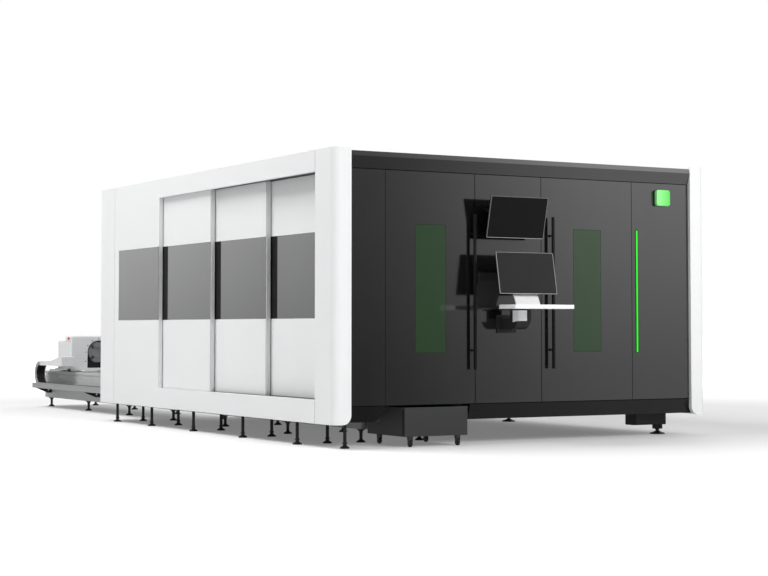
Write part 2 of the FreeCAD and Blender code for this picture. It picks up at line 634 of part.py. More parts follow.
def door_handle(x):
    """Long pull bar with rounded edges on two round posts."""
    y0 = FRONT_RECESS - HANDLE_STAND_OFF
    bar = block(x - HANDLE_WIDTH / 2, x + HANDLE_WIDTH / 2, y0 - HANDLE_DEPTH, y0, HANDLE_BOTTOM, HANDLE_TOP)
    bar = round_edges(bar, 5, lambda p: near(p.z, (HANDLE_BOTTOM + HANDLE_TOP) / 2))
    for z in (HANDLE_BOTTOM + HANDLE_POST_INSET, HANDLE_TOP - HANDLE_POST_INSET):
        bar = bar.fuse(rod(HANDLE_POST / 2, V(x, y0 - HANDLE_DEPTH / 2, z), Y_AXIS,
                           HANDLE_STAND_OFF + HANDLE_DEPTH / 2))
    return one_solid(bar)


def hinge_axis(x):
    """Line of a door's hinge: in the seam, flush with the front face."""
    return x, FRONT_RECESS + HINGE_BARREL / 2


def door_hinges():
    """Slim hinge barrels that fill the seam beside each front door."""
    barrels = []
    bottom = FRONT_BOTTOM_SEAM + SEAM / 2
    for x in (LEFT_DOOR_START, RIGHT_DOOR_END):
        axis_x, axis_y = hinge_axis(x)
        barrels.append(rod(HINGE_BARREL / 2, V(axis_x, axis_y, bottom), Z_AXIS,
                           FRONT_TOP_SEAM - SEAM / 2 - bottom))
    return group(barrels)


# ---- base frame and feet -----------------------------------------------------------------------------
def base_frame():
    """Welded base rails, the uprights behind the front panels and the ties between the beds."""
    inner_left = WALL_THICKNESS
    inner_right = ENCLOSURE_WIDTH - WALL_THICKNESS
    front_y0 = CAP_DEPTH
    front_y1 = CAP_DEPTH + FRONT_RAIL_DEPTH
    rear_y1 = ENCLOSURE_LENGTH - WALL_THICKNESS
    rear_y0 = rear_y1 - FRONT_RAIL_DEPTH
    z = (BASE_BOTTOM, BASE_TOP)
    rails = [block(inner_left, TROLLEY_BAY_START, front_y0, front_y1, *z),
             block(TROLLEY_BAY_END, inner_right, front_y0, front_y1, *z),
             block(inner_left, inner_left + BASE_RAIL_WIDTH, front_y1, rear_y1, *z),
             block(inner_right - BASE_RAIL_WIDTH, inner_right, front_y1, rear_y1, *z),
             block(TUBE_PASSAGE_END, inner_right - BASE_RAIL_WIDTH, rear_y0, rear_y1, *z)]
    ties = []
    for station in FOOT_STATIONS:
        span = (station - TIE_WIDTH / 2, station + TIE_WIDTH / 2)
        ties.append(block(inner_left + BASE_RAIL_WIDTH, LEFT_BEAM_X, *span, *z))
        ties.append(block(TUBE_BED_X + TUBE_BED_WIDTH, INNER_BEAM_X, *span, *z))
    back = FRONT_RECESS + PANEL_THICKNESS
    uprights = [block(x, x + UPRIGHT_WIDTH, back, back + UPRIGHT_DEPTH, BASE_TOP, FRONT_TOP_SEAM + SEAM / 2)
                for x in (LEFT_DOOR_START - SEAM / 2 - UPRIGHT_WIDTH, LEFT_DOOR_END + SEAM / 2,
                          RIGHT_DOOR_START - SEAM / 2 - UPRIGHT_WIDTH, RIGHT_DOOR_END + SEAM / 2,
                          ENCLOSURE_WIDTH - POST_FRONT_WIDTH - SEAM / 2 - UPRIGHT_WIDTH)]
    return group(rails + ties + uprights)


def flat_sided(sides, radius, x, y, z0, z1):
    """Upright prism with flat sides, such as a hexagon nut, round (x, y)."""
    turns = [2 * math.pi * (i + 0.5) / sides for i in range(sides)]
    return extrude_xy([(x + radius * math.cos(turn), y + radius * math.sin(turn)) for turn in turns], z0, z1)


def foot(x, y, top):
    """Levelling foot: pad and upright rod under the rail."""
    pad = flat_sided(FOOT_PAD_SIDES, FOOT_PAD_RADIUS, x, y, 0, FOOT_PAD_HEIGHT)
    stem = flat_sided(FOOT_ROD_SIDES, FOOT_ROD_RADIUS, x, y, FOOT_PAD_HEIGHT, top)
    return one_solid(pad.fuse(stem))


def levelling_feet():
    """Feet under the left base rail, the two long bed beams, the front left corner and the tube bed."""
    left_rail_x = WALL_THICKNESS + BASE_RAIL_WIDTH / 2
    left_beam_x = LEFT_BEAM_X + BED_BEAM_WIDTH / 2
    tube_inset = FOOT_PAD_RADIUS - FOOT_PAD_OVERHANG
    feet = [foot(LEFT_CORNER_FOOT_X, CAP_DEPTH + FRONT_RAIL_DEPTH / 2, BASE_BOTTOM)]
    for y in FOOT_STATIONS:
        feet.append(foot(left_rail_x, y, BASE_BOTTOM))
        feet.append(foot(left_beam_x, y, BASE_BOTTOM))
    feet.append(foot(RIGHT_FEET_X, RIGHT_FOOT_STATIONS[0], OUTRIGGER_BOTTOM))
    for y in RIGHT_FOOT_STATIONS[1:]:
        feet.append(foot(RIGHT_FEET_X, y, BASE_BOTTOM))
    for y in TUBE_FOOT_STATIONS:
        feet.append(foot(TUBE_BED_X + tube_inset, y, TUBE_BED_BOTTOM))
        feet.append(foot(TUBE_BED_X + TUBE_BED_WIDTH - tube_inset, y, TUBE_BED_BOTTOM))
    return group(feet)


# ---- cutting bed -------------------------------------------------------------------------------------
def slat_field():
    """Left, right, front and rear limits of the slat table."""
    return (INNER_BEAM_X + INNER_BEAM_WIDTH + SLAT_FRAME_BAR, RIGHT_BEAM_X - 2 * SLAT_FRAME_BAR,
            SLAT_FIELD_START, SLAT_FIELD_START + SLAT_FIELD_LENGTH)


def bed_beams():
    """Rail beams, inner and cross beams, the slat table's frame, and the block over the front right foot."""
    rear = BED_REAR
    bars = [block(LEFT_BEAM_X, LEFT_BEAM_X + BED_BEAM_WIDTH, BED_FRONT, rear, BASE_BOTTOM, BED_TOP),
            block(RIGHT_BEAM_X, RIGHT_BEAM_X + BED_BEAM_WIDTH, BED_FRONT, rear, BASE_BOTTOM, BED_TOP),
            block(INNER_BEAM_X, INNER_BEAM_X + INNER_BEAM_WIDTH, CAP_DEPTH + FRONT_RAIL_DEPTH, rear,
                  BASE_BOTTOM, TABLE_TOP)]
    outrigger_x = RIGHT_BEAM_X + BED_BEAM_WIDTH
    foot_y = RIGHT_FOOT_STATIONS[0]
    bars.append(block(outrigger_x - OUTRIGGER_WIDTH, outrigger_x, foot_y - FOOT_PAD_RADIUS - RAIL_EDGE,
                      foot_y + FOOT_PAD_RADIUS + RAIL_EDGE, OUTRIGGER_BOTTOM, BASE_BOTTOM))
    for y in CROSS_BEAM_STATIONS:
        bars.append(block(INNER_BEAM_X + INNER_BEAM_WIDTH, RIGHT_BEAM_X, y, y + CROSS_BEAM_WIDTH,
                          CROSS_BEAM_BOTTOM, TABLE_TOP))
    x0, x1, y0, y1 = slat_field()
    z = (TABLE_TOP, TABLE_TOP + SLAT_FRAME_HEIGHT)
    bar = SLAT_FRAME_BAR
    bars.append(block(x0, x0 + bar, y0, y1, *z))
    bars.append(block(x1 - bar, x1, y0, y1, *z))
    bars.append(block(x0 + bar, x1 - bar, y0, y0 + bar, *z))
    bars.append(block(x0 + bar, x1 - bar, y1 - bar, y1, *z))
    return group(bars)


def slats():
    """Toothed support slats standing on the side bars; their number follows from the pitch."""
    x0, x1, y0, y1 = slat_field()
    z0 = TABLE_TOP + SLAT_FRAME_HEIGHT
    z1 = z0 + SLAT_HEIGHT
    tooth = (x1 - x0) / SLAT_TEETH
    outline = [(x0, z0), (x0, z1 - SLAT_TOOTH_DEPTH)]
    for i in range(SLAT_TEETH):
        outline.append((x0 + (i + 0.5) * tooth, z1))
        outline.append((x0 + (i + 1) * tooth, z1 - SLAT_TOOTH_DEPTH))
    outline.append((x1, z0))
    count = int((y1 - y0 - 2 * SLAT_FRAME_BAR) // SLAT_PITCH) + 1
    start = (y0 + y1 - (count - 1) * SLAT_PITCH - SLAT_THICKNESS) / 2
    first = extrude_xz(outline, start, start + SLAT_THICKNESS)
    copies = []
    for i in range(count):
        slat = first.copy()
        slat.translate(V(0, i * SLAT_PITCH, 0))
        copies.append(slat)
    return group(copies)


def rail(x, width, height, waist, y0, y1, z):
    """Profile rail with hollowed flanks."""
    half = width / 2
    flank = [(half, 0), (half, height * 0.3), (half - waist, height * 0.5), (half, height * 0.75),
             (half, height)]
    outline = [(x + out, z + up) for out, up in flank]
    outline += [(x - out, z + up) for out, up in reversed(flank)]
    return extrude_xz(outline, y0, y1)


def gantry_rail_lines():
    """x of the two rails that the gantry runs on."""
    return LEFT_BEAM_X + BED_BEAM_WIDTH / 2, RIGHT_BEAM_X + BED_BEAM_WIDTH / 2


def tube_rail_lines():
    """x of the two rails that the chuck carriage runs on."""
    return TUBE_BED_X + TUBE_RAIL_INSET, TUBE_BED_X + TUBE_BED_WIDTH - TUBE_RAIL_INSET


def linear_rails():
    """Rails of the gantry on the bed beams and of the chuck carriage on the tube bed."""
    rails = [rail(x, RAIL_WIDTH, RAIL_HEIGHT, RAIL_WAIST, BED_FRONT + 20, BED_REAR - 20, BED_TOP)
             for x in gantry_rail_lines()]
    start = FRONT_CHUCK_Y + FRONT_CHUCK_LENGTH + 2 * CARRIAGE_OVERHANG
    rails.extend(rail(x, TUBE_RAIL_WIDTH, TUBE_RAIL_HEIGHT, RAIL_WAIST / 2, start, TUBE_BED_REAR - 20,
                      TUBE_BED_TOP) for x in tube_rail_lines())
    return group(rails)


# ---- gantry and cutting head -------------------------------------------------------------------------
def gantry_ends():
    """Carriages at both ends of the gantry: saddle over the rail, raised foot and motor housing."""
    ends = []
    y0 = GANTRY_REST_Y - GANTRY_END_LENGTH / 2
    y1 = GANTRY_REST_Y + GANTRY_END_LENGTH / 2
    saddle_bottom = BED_TOP + 4
    saddle_top = BED_TOP + RAIL_HEIGHT + 40
    for x in gantry_rail_lines():
        saddle = block(x - 60, x + 60, y0, y1, saddle_bottom, saddle_top)
        clear = RAIL_WIDTH / 2 + 1
        saddle = saddle.cut(block(x - clear, x + clear, y0 - 1, y1 + 1, saddle_bottom - 1,
                                  BED_TOP + RAIL_HEIGHT + RUNNING_GAP))
        foot_outline = [(y0 + 30, saddle_top), (y1 - 30, saddle_top),
                        (GANTRY_REST_Y + GANTRY_BEAM_DEPTH / 2, GANTRY_BEAM_BOTTOM),
                        (GANTRY_REST_Y - GANTRY_BEAM_DEPTH / 2, GANTRY_BEAM_BOTTOM)]
        ends.append(one_solid(saddle.fuse(extrude_yz(foot_outline, x - 50, x + 50))))
    return group(ends)


def gantry_beam():
    """Cast gantry beam with two rails on its front face and lightening pockets in its back."""
    x_left, x_right = gantry_rail_lines()
    x0 = x_left - 50
    x1 = x_right + 50
    y0 = GANTRY_REST_Y - GANTRY_BEAM_DEPTH / 2
    y1 = GANTRY_REST_Y + GANTRY_BEAM_DEPTH / 2
    z0 = GANTRY_BEAM_BOTTOM
    z1 = GANTRY_BEAM_BOTTOM + GANTRY_BEAM_HEIGHT
    chamfer = 40
    outline = [(y0, z0), (y1 - chamfer, z0), (y1, z0 + chamfer), (y1, z1 - chamfer), (y1 - chamfer, z1),
               (y0, z1)]
    beam = extrude_yz(outline, x0, x1)
    for p0, p1 in rows(x0 + 60, x1 - 60, 7, 60):
        beam = beam.cut(block(p0, p1, y1 - 30, y1 + 1, z0 + 80, z1 - 80))
    for z in (z0 + 35, z1 - 35):
        beam = beam.fuse(block(x0 + 20, x1 - 20, y0 - BEAM_RAIL_DEPTH, y0, z - 14, z + 14))
    return one_solid(beam)


def head_carriage():
    """Upright carriage plate that runs on the gantry beam's rails and guides the cutting head."""
    x0 = HEAD_REST_X - HEAD_CARRIAGE_WIDTH / 2
    x1 = HEAD_REST_X + HEAD_CARRIAGE_WIDTH / 2
    back = GANTRY_REST_Y - GANTRY_BEAM_DEPTH / 2 - BEAM_RAIL_DEPTH - RUNNING_GAP
    front = back - HEAD_CARRIAGE_DEPTH
    z0 = HEAD_CARRIAGE_BOTTOM
    z1 = HEAD_CARRIAGE_BOTTOM + HEAD_CARRIAGE_HEIGHT
    plate = block(x0, x1, back - HEAD_PLATE, back, z0, z1)
    cover = block(x0 + 20, x1 - 20, front, back - HEAD_PLATE, HEAD_COVER_BOTTOM, z1)
    cover = round_edges(cover, 16, lambda p: near(p.y, front))
    return one_solid(plate.fuse(cover))


def cutting_head():
    """Cutting head: slide block, round optics barrel, cone and nozzle."""
    guide = GANTRY_REST_Y - GANTRY_BEAM_DEPTH / 2 - BEAM_RAIL_DEPTH - HEAD_PLATE - 2 * RUNNING_GAP
    y = guide - HEAD_RADIUS - 10
    z = NOZZLE_TIP
    profile = [V(0, 0, 0), V(NOZZLE_RADIUS, 0, 0), V(CONE_RADIUS, 0, CONE_HEIGHT),
               V(HEAD_RADIUS, 0, CONE_HEIGHT), V(HEAD_RADIUS, 0, HEAD_HEIGHT), V(0, 0, HEAD_HEIGHT)]
    head = Part.Face(Part.makePolygon(profile + profile[:1])).revolve(V(0, 0, 0), Z_AXIS, 360)
    head.translate(V(HEAD_REST_X, y, z))
    slide = block(HEAD_REST_X - 60, HEAD_REST_X + 60, y, guide, z + 100, z + HEAD_HEIGHT)
    return one_solid(head.fuse(slide))


# ---- tube unit ---------------------------------------------------------------------------------------
def tube_bed():
    """Box bed of the tube unit: rail edges, a trough between them and a groove along each side."""
    x0 = TUBE_BED_X
    x1 = TUBE_BED_X + TUBE_BED_WIDTH
    edge = 2 * TUBE_RAIL_INSET
    z0 = TUBE_BED_BOTTOM
    z1 = TUBE_BED_TOP
    groove = TUBE_BED_TOP - TUBE_GROOVE_DROP
    half = TUBE_GROOVE_HEIGHT / 2
    depth = TUBE_GROOVE_DEPTH
    outline = [(x0, z0), (x1, z0), (x1, groove - half), (x1 - depth, groove - half),
               (x1 - depth, groove + half), (x1, groove + half), (x1, z1), (x1 - edge, z1),
               (x1 - edge - 20, z1 - 60), (x0 + edge + 20, z1 - 60), (x0 + edge, z1), (x0, z1),
               (x0, groove + half), (x0 + depth, groove + half),
               (x0 + depth, groove - half), (x0, groove - half)]
    bed = extrude_xz(outline, TUBE_BED_FRONT, TUBE_BED_REAR)
    for start in (TUBE_BED_FRONT - 1, TUBE_BED_REAR - TUBE_END_POCKET):
        pocket = block(x0 + 30, x1 - 30, start, start + TUBE_END_POCKET + 1, z0 + 30, z1 - 90)
        bed = bed.cut(pocket)
    return bed


def chuck_arch(y0, y1):
    """Arched opening of a chuck housing: round over the chuck, straight down to the base."""
    arch = rod(ARCH_RADIUS, V(TUBE_AXIS_X, y0, TUBE_AXIS_Z), Y_AXIS, y1 - y0)
    below = block(TUBE_AXIS_X - ARCH_RADIUS, TUBE_AXIS_X + ARCH_RADIUS, y0, y1,
                  HOUSING_BOTTOM + 10, TUBE_AXIS_Z)
    return one_solid(arch.fuse(below))


def housing_shell(y0, y1, bottom):
    """Sheet housing of a chuck with softened upright and upper edges."""
    x0 = TUBE_AXIS_X - HOUSING_WIDTH / 2
    x1 = TUBE_AXIS_X + HOUSING_WIDTH / 2
    shell = block(x0, x1, y0, y1, bottom, HOUSING_TOP)
    return bevel_edges(shell, HOUSING_EDGE, lambda p: near(p.z, HOUSING_TOP) and not near(p.y, y1)
                       or near(p.y, y0) and (near(p.x, x0) or near(p.x, x1)))


def chuck(y0, length, through):
    """Turned chuck with stepped face, centre bore and four jaws set against the face."""
    jaw_start = y0 - 16
    shaft = rod(CHUCK_SHAFT_RADIUS, V(TUBE_AXIS_X, y0 + 60, TUBE_AXIS_Z), Y_AXIS, length - 60)
    disc = rod(CHUCK_RADIUS, V(TUBE_AXIS_X, y0, TUBE_AXIS_Z), Y_AXIS, 70)
    body = disc.fuse(shaft)
    for turn in (45, 135, 225, 315):
        jaw = block(TUBE_AXIS_X + CHUCK_BORE_RADIUS + 6, TUBE_AXIS_X + CHUCK_RADIUS - 12, jaw_start, y0 + 2,
                    TUBE_AXIS_Z - 16, TUBE_AXIS_Z + 16)
        jaw.rotate(V(TUBE_AXIS_X, 0, TUBE_AXIS_Z), Y_AXIS, turn)
        body = body.fuse(jaw)
    depth = length + 20 if through else length - 60
    bore = rod(CHUCK_BORE_RADIUS, V(TUBE_AXIS_X, y0 - 20, TUBE_AXIS_Z), Y_AXIS, depth)
    return one_solid(body.cut(bore))


def shaft_seat(y0, y1):
    """Round seat for a chuck shaft, with running clearance."""
    return rod(CHUCK_SHAFT_RADIUS + RUNNING_GAP, V(TUBE_AXIS_X, y0, TUBE_AXIS_Z), Y_AXIS, y1 - y0)


def chuck_housing():
    """Rear chuck housing on the carriage, arch open to the front, with the stop button's seat."""
    y1 = HOUSING_FRONT + HOUSING_LENGTH
    shell = housing_shell(HOUSING_FRONT, y1, HOUSING_BOTTOM)
    shell = shell.cut(chuck_arch(HOUSING_FRONT - 1, HOUSING_FRONT + ARCH_DEPTH))
    shell = shell.cut(shaft_seat(HOUSING_FRONT + ARCH_DEPTH - 1, y1 - 20))
    seat_x = TUBE_AXIS_X - HOUSING_WIDTH / 2
    seat = rod(ESTOP_RADIUS, V(seat_x - ESTOP_SEAT, ESTOP_Y, ESTOP_Z), X_AXIS, ESTOP_SEAT + 2)
    shell = shell.fuse(seat)
    well = rod(ESTOP_RADIUS / 2 + RUNNING_GAP, V(seat_x - ESTOP_SEAT - 1, ESTOP_Y, ESTOP_Z), X_AXIS, 30)
    return one_solid(shell.cut(well))


def stop_button():
    """Red mushroom button with its stem in the seat."""
    seat_x = TUBE_AXIS_X - HOUSING_WIDTH / 2
    start = seat_x - ESTOP_SEAT - ESTOP_TRAVEL - RUNNING_GAP
    z = ESTOP_Z
    stem = ESTOP_RADIUS / 2
    profile = [V(start + ESTOP_STEM, 0, 0), V(start + ESTOP_STEM, 0, stem), V(start, 0, stem),
               V(start, 0, ESTOP_RADIUS), V(start - ESTOP_HEAD, 0, ESTOP_RADIUS),
               V(start - ESTOP_HEAD, 0, 0)]
    button = Part.Face(Part.makePolygon(profile + profile[:1])).revolve(V(0, 0, 0), X_AXIS, 360)
    button.translate(V(0, ESTOP_Y, z))
    return button


def motor_cover():
    """Lower cover behind the chuck housing."""
    y0 = HOUSING_FRONT + HOUSING_LENGTH
    y1 = y0 + COVER_LENGTH
    cover = block(TUBE_AXIS_X - COVER_WIDTH / 2, TUBE_AXIS_X + COVER_WIDTH / 2, y0, y1,
                  HOUSING_BOTTOM, COVER_TOP)
    return bevel_edges(cover, HOUSING_EDGE, lambda p: near(p.z, COVER_TOP) and not near(p.y, y0)
                       or near(p.y, y1) and not near(p.z, HOUSING_BOTTOM) and not near(p.z, COVER_TOP))


def carriage_base():
    """Base plate of the chuck carriage on four saddles over the rails."""
    y0 = HOUSING_FRONT - CARRIAGE_OVERHANG
    y1 = HOUSING_FRONT + HOUSING_LENGTH + COVER_LENGTH + CARRIAGE_OVERHANG
    top_of_rail = TUBE_BED_TOP + TUBE_RAIL_HEIGHT
    plate = block(TUBE_BED_X - CARRIAGE_SIDE, TUBE_BED_X + TUBE_BED_WIDTH + CARRIAGE_SIDE, y0, y1,
                  top_of_rail + 2, HOUSING_BOTTOM)
    for x in tube_rail_lines():
        for start in (y0, y1 - SADDLE_LENGTH):
            saddle = block(x - 32, x + 32, start, start + SADDLE_LENGTH, TUBE_BED_TOP + 3, top_of_rail + 2)
            clear = TUBE_RAIL_WIDTH / 2 + RUNNING_GAP
            saddle = saddle.cut(block(x - clear, x + clear, start - 1, start + SADDLE_LENGTH + 1,
                                      TUBE_BED_TOP, top_of_rail + RUNNING_GAP))
            plate = plate.fuse(saddle)
    return one_solid(plate)


def front_chuck_housing():
    """Fixed front chuck housing on the tube bed inside the enclosure."""
    y1 = FRONT_CHUCK_Y + FRONT_CHUCK_LENGTH
    shell = housing_shell(FRONT_CHUCK_Y, y1, TUBE_BED_TOP)
    shell = shell.cut(chuck_arch(FRONT_CHUCK_Y - 1, FRONT_CHUCK_Y + ARCH_DEPTH))
    return shell.cut(shaft_seat(FRONT_CHUCK_Y + ARCH_DEPTH - 1, y1 + 1))


def rear_chuck():
    return chuck(HOUSING_FRONT + 30, HOUSING_LENGTH - 30 - 20 - RUNNING_GAP, False)


def front_chuck():
    return chuck(FRONT_CHUCK_Y + 30, FRONT_CHUCK_LENGTH - 30, True)


def chain_arm():
    """White arm on the carriage's left side that takes the end of the drag chain."""
    x1 = TUBE_AXIS_X - HOUSING_WIDTH / 2
    chain_top = CHAIN_CENTRE_Z + CHAIN_OUTER_RADIUS
    outline = [(CHAIN_ARM_REAR, chain_top - CHAIN_LINK_HEIGHT), (CHAIN_ARM_REAR, chain_top + 5),
               (CHAIN_ARM_REAR - CHAIN_ARM_STEP, chain_top + 12), (CHAIN_ARM_FRONT + 46, chain_top + 69),
               (CHAIN_ARM_FRONT, chain_top + 62), (CHAIN_ARM_FRONT, chain_top - CHAIN_LINK_HEIGHT)]
    return extrude_yz(outline, CHAIN_X - 20, x1)


def drag_chain():
    """Energy chain: straight run in the tray, half-turn loop and short upper run, grooved at each link."""
    outer = CHAIN_OUTER_RADIUS
    inner = outer - CHAIN_LINK_HEIGHT
    y0 = CHAIN_FIXED_END_Y
    y1 = CHAIN_CENTRE_Y
    yt = CHAIN_ARM_REAR
    z = CHAIN_CENTRE_Z
    x0 = CHAIN_X
    edges = [Part.makeLine(V(x0, y0, z - outer), V(x0, y1, z - outer)),
             Part.Arc(V(x0, y1, z - outer), V(x0, y1 + outer, z), V(x0, y1, z + outer)).toShape(),
             Part.makeLine(V(x0, y1, z + outer), V(x0, yt, z + outer)),
             Part.makeLine(V(x0, yt, z + outer), V(x0, yt, z + inner)),
             Part.makeLine(V(x0, yt, z + inner), V(x0, y1, z + inner)),
             Part.Arc(V(x0, y1, z + inner), V(x0, y1 + inner, z), V(x0, y1, z - inner)).toShape(),
             Part.makeLine(V(x0, y1, z - inner), V(x0, y0, z - inner)),
             Part.makeLine(V(x0, y0, z - inner), V(x0, y0, z - outer))]
    band = Part.Face(Part.Wire(edges)).extrude(V(CHAIN_WIDTH, 0, 0))
    grooves = []
    count = int((y1 - y0) // CHAIN_LINK)
    for i in range(1, count):
        y = y1 - i * CHAIN_LINK
        grooves.append(block(x0 - 1, x0 + CHAIN_WIDTH + 1, y - 3, y + 3, z - inner - 8, z - inner + 1))
    for i in range(7):
        angle = math.radians(-90 + (i + 0.5) * 180 / 7)
        cut = block(x0 - 1, x0 + CHAIN_WIDTH + 1, -3, 3, inner - 1, inner + 8)
        cut.rotate(V(0, 0, 0), X_AXIS, math.degrees(angle) - 90)
        cut.translate(V(0, y1, z))
        grooves.append(cut)
    return one_solid(band.cut(Part.makeCompound(grooves)))


def chain_tray():
    """Folded tray for the chain, flanged to the tube bed's side, on triangular gussets with a round hole."""
    x0 = TRAY_X
    x1 = TUBE_BED_X
    sheet = TRAY_SHEET
    floor = CHAIN_CENTRE_Z - CHAIN_OUTER_RADIUS - RUNNING_GAP
    under = floor - sheet
    outline = [(x0, TRAY_LIP_BOTTOM), (x0 + sheet, TRAY_LIP_BOTTOM), (x0 + sheet, under), (x1, under),
               (x1, TRAY_LIP_TOP), (x1 - sheet, TRAY_LIP_TOP), (x1 - sheet, floor), (x0 + sheet, floor),
               (x0 + sheet, TRAY_LIP_TOP), (x0, TRAY_LIP_TOP)]
    pieces = [extrude_xz(outline, TRAY_FRONT, TRAY_REAR)]
    toe = TRAY_LIP_BOTTOM
    web = [(x0 + sheet, under), (x1, under), (x1, under - GUSSET_DROP),
           (x1 - GUSSET_FOOT, under - GUSSET_DROP), (x0 + sheet, toe)]
    for y in GUSSET_STATIONS:
        plate = extrude_xz(web, y - GUSSET_THICKNESS / 2, y + GUSSET_THICKNESS / 2)
        hole = rod(GUSSET_HOLE_RADIUS, V(x1 - GUSSET_FOOT, y - GUSSET_THICKNESS, under - GUSSET_DROP / 2),
                   Y_AXIS, 2 * GUSSET_THICKNESS)
        pieces.append(plate.cut(hole))
    return group(pieces)


# ---- cabinets inside ---------------------------------------------------------------------------------
def control_cabinet():
    """Electrical cabinet standing on the front base rail behind the right panel."""
    back = FRONT_RECESS + PANEL_THICKNESS + UPRIGHT_DEPTH
    x0 = RIGHT_DOOR_END + SEAM / 2 + UPRIGHT_WIDTH + CABINET_GAP
    x1 = ENCLOSURE_WIDTH - POST_FRONT_WIDTH - SEAM / 2 - UPRIGHT_WIDTH - CABINET_GAP
    return block(x0, x1, back, back + CABINET_DEPTH, BASE_TOP, CABINET_TOP)


def laser_source():
    """Laser source cabinet on the rear base rail, with cooling slots in its front."""
    y1 = ENCLOSURE_LENGTH - WALL_THICKNESS - CABINET_GAP
    y0 = y1 - SOURCE_DEPTH
    x0 = SOURCE_X
    x1 = SOURCE_X + SOURCE_WIDTH
    cabinet = block(x0, x1, y0, y1, BASE_TOP, SOURCE_TOP)
    for z0, z1 in rows(BASE_TOP + SOURCE_MARGIN, SOURCE_TOP - SOURCE_MARGIN, SOURCE_SLOTS, SOURCE_SLOT_GAP):
        cabinet = cabinet.cut(block(x0 + 80, x1 - 80, y0 - 1, y0 + 8, z0, z1))
    return cabinet


# ---- console -----------------------------------------------------------------------------------------
def console_brackets():
    """Curved arm from the middle front panel to the table swivel, and the upper monitor's wall bracket."""
    x0 = CONSOLE_X - ARM_WIDTH / 2
    x1 = CONSOLE_X + ARM_WIDTH / 2
    face = FRONT_RECESS
    top = TRAY_TABLE_BOTTOM - SWIVEL_LIFT
    front = CONSOLE_SWIVEL_Y - ARM_DEPTH / 2 - 15
    bend = 110.0
    slant = math.sqrt(0.5)
    shelf = ARM_BOTTOM + ARM_DEPTH
    rise = front + ARM_DEPTH + 30
    edges = [Part.makeLine(V(x0, face, ARM_BOTTOM), V(x0, front + bend, ARM_BOTTOM)),
             Part.Arc(V(x0, front + bend, ARM_BOTTOM),
                      V(x0, front + bend - bend * slant, ARM_BOTTOM + bend - bend * slant),
                      V(x0, front, ARM_BOTTOM + bend)).toShape(),
             Part.makeLine(V(x0, front, ARM_BOTTOM + bend), V(x0, front, top)),
             Part.makeLine(V(x0, front, top), V(x0, rise, top)),
             Part.makeLine(V(x0, rise, top), V(x0, rise, shelf)),
             Part.makeLine(V(x0, rise, shelf), V(x0, face, shelf)),
             Part.makeLine(V(x0, face, shelf), V(x0, face, ARM_BOTTOM))]
    arm = Part.Face(Part.Wire(edges)).extrude(V(ARM_WIDTH, 0, 0))
    flange = block(x0 - 30, x1 + 30, face - 10, face, ARM_BOTTOM - 30, shelf + 30)
    arm = one_solid(arm.fuse(flange))
    plate = block(CONSOLE_X - 60, CONSOLE_X + 60, face - 8, face, UPPER_MONITOR_Z - 60, UPPER_MONITOR_Z + 60)
    axis_y, axis_z = monitor_axis(UPPER_MONITOR_Y, UPPER_MONITOR_Z, UPPER_MONITOR_TILT)
    beam = block(CONSOLE_X - 20, CONSOLE_X + 20, axis_y, face - 8, axis_z - 20, axis_z + 20)
    eye = rod(20, V(CONSOLE_X - 20, axis_y, axis_z), X_AXIS, 40)
    hole = rod(HINGE_RADIUS + RUNNING_GAP, V(CONSOLE_X - 30, axis_y, axis_z), X_AXIS, 60)
    bracket = one_solid(plate.fuse(beam).fuse(eye).cut(hole))
    return group([arm, bracket])


def monitor_axis(y, z, tilt):
    """y and z of the tilt hinge behind a monitor whose face is centred on (y, z)."""
    back = MONITOR_THICKNESS + HINGE_DISTANCE
    angle = math.radians(tilt)
    return y + back * math.cos(angle), z - back * math.sin(angle)


def monitor(y, z, tilt):
    """Flat monitor: bezel round a sunk screen, stepped back housing, and two hinge ears with their pin."""
    half_w = MONITOR_WIDTH / 2
    half_h = MONITOR_HEIGHT / 2
    case = block(-half_w, half_w, 0, MONITOR_THICKNESS * 0.6, -half_h, half_h)
    case = round_edges(case, MONITOR_ROUND, lambda p: near(p.y, MONITOR_THICKNESS * 0.3))
    screen = block(-half_w + MONITOR_BEZEL, half_w - MONITOR_BEZEL, -1, 1.5,
                   -half_h + MONITOR_BEZEL, half_h - MONITOR_BEZEL)
    case = case.cut(screen)
    back = block(-half_w * 0.7, half_w * 0.7, MONITOR_THICKNESS * 0.6, MONITOR_THICKNESS,
                 -half_h * 0.7, half_h * 0.7)
    body = case.fuse(back)
    axis_y = MONITOR_THICKNESS + HINGE_DISTANCE
    for side in (-1, 1):
        ear_x = min(side * 20.5, side * 32.5)
        body = body.fuse(block(ear_x, ear_x + 12, MONITOR_THICKNESS - 1, axis_y, -HINGE_EAR, HINGE_EAR))
        body = body.fuse(rod(HINGE_EAR, V(ear_x, axis_y, 0), X_AXIS, 12))
    body = body.fuse(rod(HINGE_RADIUS, V(-32, axis_y, 0), X_AXIS, 64))
    body = one_solid(body)
    body.rotate(V(0, 0, 0), X_AXIS, -tilt)
    body.translate(V(CONSOLE_X, y, z))
    return body


def lower_monitor():
    return monitor(LOWER_MONITOR_Y, LOWER_MONITOR_Z, LOWER_MONITOR_TILT)


def upper_monitor():
    return monitor(UPPER_MONITOR_Y, UPPER_MONITOR_Z, UPPER_MONITOR_TILT)


